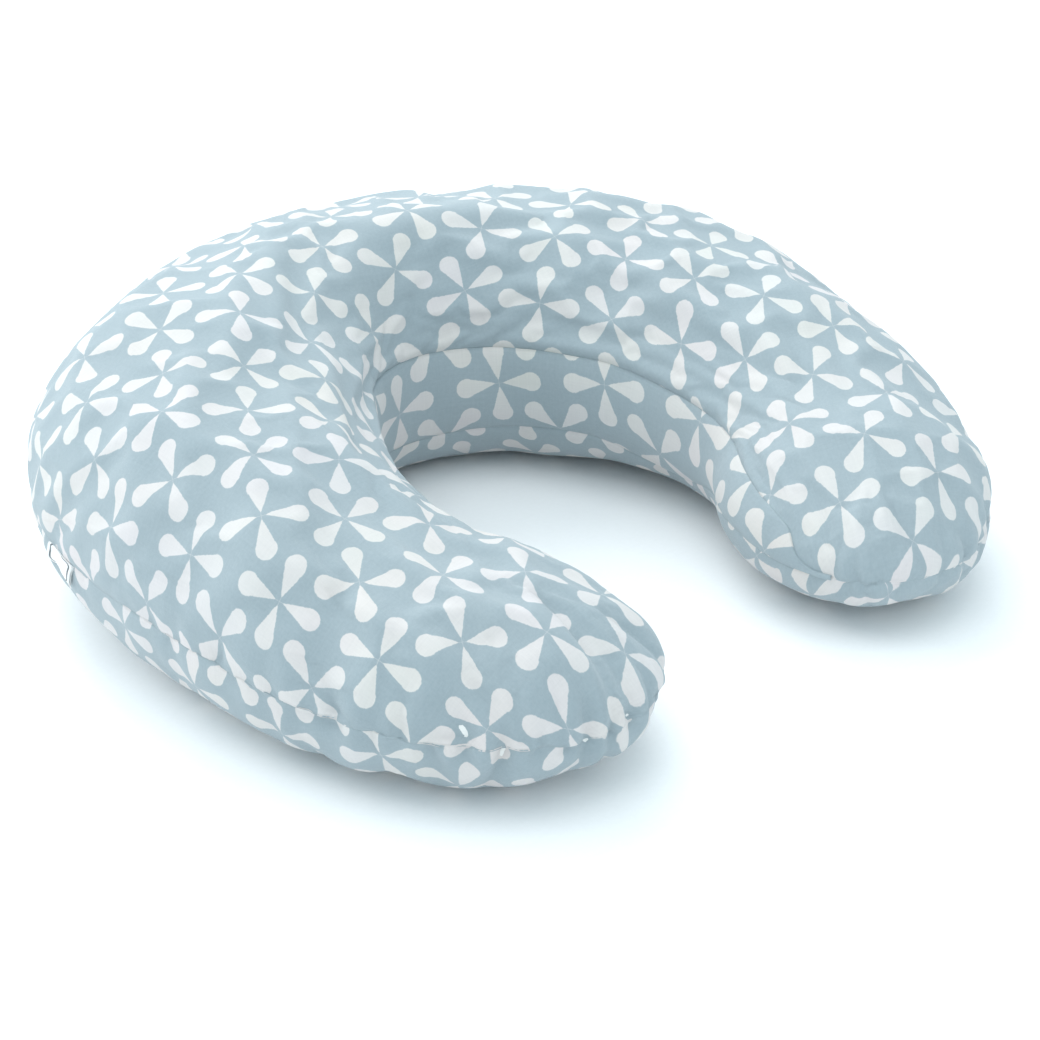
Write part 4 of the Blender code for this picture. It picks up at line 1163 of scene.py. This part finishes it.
def label(name, node, place, width, drop, lift):
    """A folded strip that lies on the lower panel below the outer seam and lifts a little at its fold."""
    places, low, facing = cover_shapes["low"]
    strip, flat = [], []
    for share in np.linspace(0, 1, 15):
        u = place + (share - 0.5) * width
        row = int(np.argmin(np.abs(places - u)))
        mix = np.array([[np.interp(u, places[row - 2:row + 3], low[row - 2:row + 3, c, k]) for k in range(3)]
                        for c in range(40)])
        gap = np.concatenate([[0], np.cumsum(np.linalg.norm(np.diff(mix, axis=0), axis=1))])
        line, place_in = [], []
        for layer, out in ((0, 0.0010), (1, 0.0018)):
            shares = np.linspace(0, 1, 9) if layer == 0 else np.linspace(1, 0, 9)
            for down in shares:
                here = np.array([np.interp(max(0.0004, down * drop), gap, mix[:, k]) for k in range(3)])
                bow = (out if down < 1 else 0.0014) * (0.25 + 0.75 * min(1.0, down * 4)) + lift * down ** 2
                bow += 0.0006 * math.sin(share * 5 + down * 2)
                line.append(here + facing[row, 2] * bow)
                place_in.append((share, down))
        strip.append(line)
        flat.append(place_in)
    points = np.array(strip)
    piece = to_mesh(name, points, grid_faces(*points.shape[:2], True), np.array(flat))
    piece.data.materials.append(label_satin)
    piece = thickened(piece, 0.00025)
    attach(piece, "pillow")
    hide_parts(node)


label("side_tab", "side_label", -0.258, 0.024, 0.012, 0.0010)
label("care_tab", "care_label", 0.175, 0.022, 0.030, 0.0015)

# STUDIO
# A plain white floor under a bright, even sky, with three soft lights: behind, above, and behind on the left.

data = bpy.data.meshes.new("floor")
data.from_pydata([(-4, -4, 0), (4, -4, 0), (4, 4, 0), (-4, 4, 0)], [], [(0, 1, 2, 3)])
floor = bpy.data.objects.new("floor", data)
scene.collection.objects.link(floor)
floor_white, add, dress = new_material("floor_white")
place = add("ShaderNodeTexCoord").outputs["Object"]
grain = add("ShaderNodeTexNoise", Vector=place, Scale=300.0, Detail=3.0).outputs["Fac"]
dress(Base_Color=ramp_node(add, grain, [(0.3, (0.955, 0.958, 0.96)), (0.7, (0.975, 0.977, 0.98))]),
      Roughness=0.9, Specular_IOR_Level=0.1)
data.materials.append(floor_white)

world = bpy.data.worlds.new("studio")
world.use_nodes = True
world.node_tree.nodes["Background"].inputs["Color"].default_value = (0.82, 0.945, 1.0, 1.0)
world.node_tree.nodes["Background"].inputs["Strength"].default_value = 1.07
scene.world = world
scene.view_settings.view_transform = "Standard"


def softbox(name, place, aim, width, height, power):
    light = bpy.data.lights.new(name, "AREA")
    light.shape = "RECTANGLE"
    light.size = width
    light.size_y = height
    light.energy = power
    lamp = bpy.data.objects.new(name, light)
    lamp.location = place
    lamp.rotation_euler = (Vector(aim) - Vector(place)).to_track_quat("-Z", "Y").to_euler()
    scene.collection.objects.link(lamp)


softbox("back_softbox", (0.7, 1.7, 1.9), (0.0, 0.0, 0.05), 2.2, 1.4, 27.0)
softbox("top_softbox", (-0.5, -0.2, 2.4), (0.0, 0.0, 0.0), 1.8, 1.8, 13.0)
softbox("left_softbox", (-1.3, 1.5, 1.3), (-0.1, 0.0, 0.05), 1.4, 1.2, 16.0)

CAMERA_VIEW = math.radians(31.437)
CAMERA_SHIFT = (-0.019944, -0.038652)
CAMERA_TURN = math.radians(-39.45)
CAMERA_TILT = math.radians(26.896)
CAMERA_DISTANCE = 1.170
CAMERA_AIM = Vector((0.0, RING_CENTRE_Y, 0.06))
camera_data = bpy.data.cameras.new("camera")
camera_data.sensor_fit = "HORIZONTAL"
camera_data.angle = CAMERA_VIEW
camera_data.shift_x, camera_data.shift_y = CAMERA_SHIFT
backwards = Vector((math.sin(CAMERA_TURN) * math.cos(CAMERA_TILT), -math.cos(CAMERA_TURN) * math.cos(CAMERA_TILT),
                    math.sin(CAMERA_TILT)))
camera = bpy.data.objects.new("camera", camera_data)
camera.location = backwards * CAMERA_DISTANCE + CAMERA_AIM
camera.rotation_euler = (-backwards).to_track_quat("-Z", "Y").to_euler()
scene.collection.objects.link(camera)
scene.camera = camera
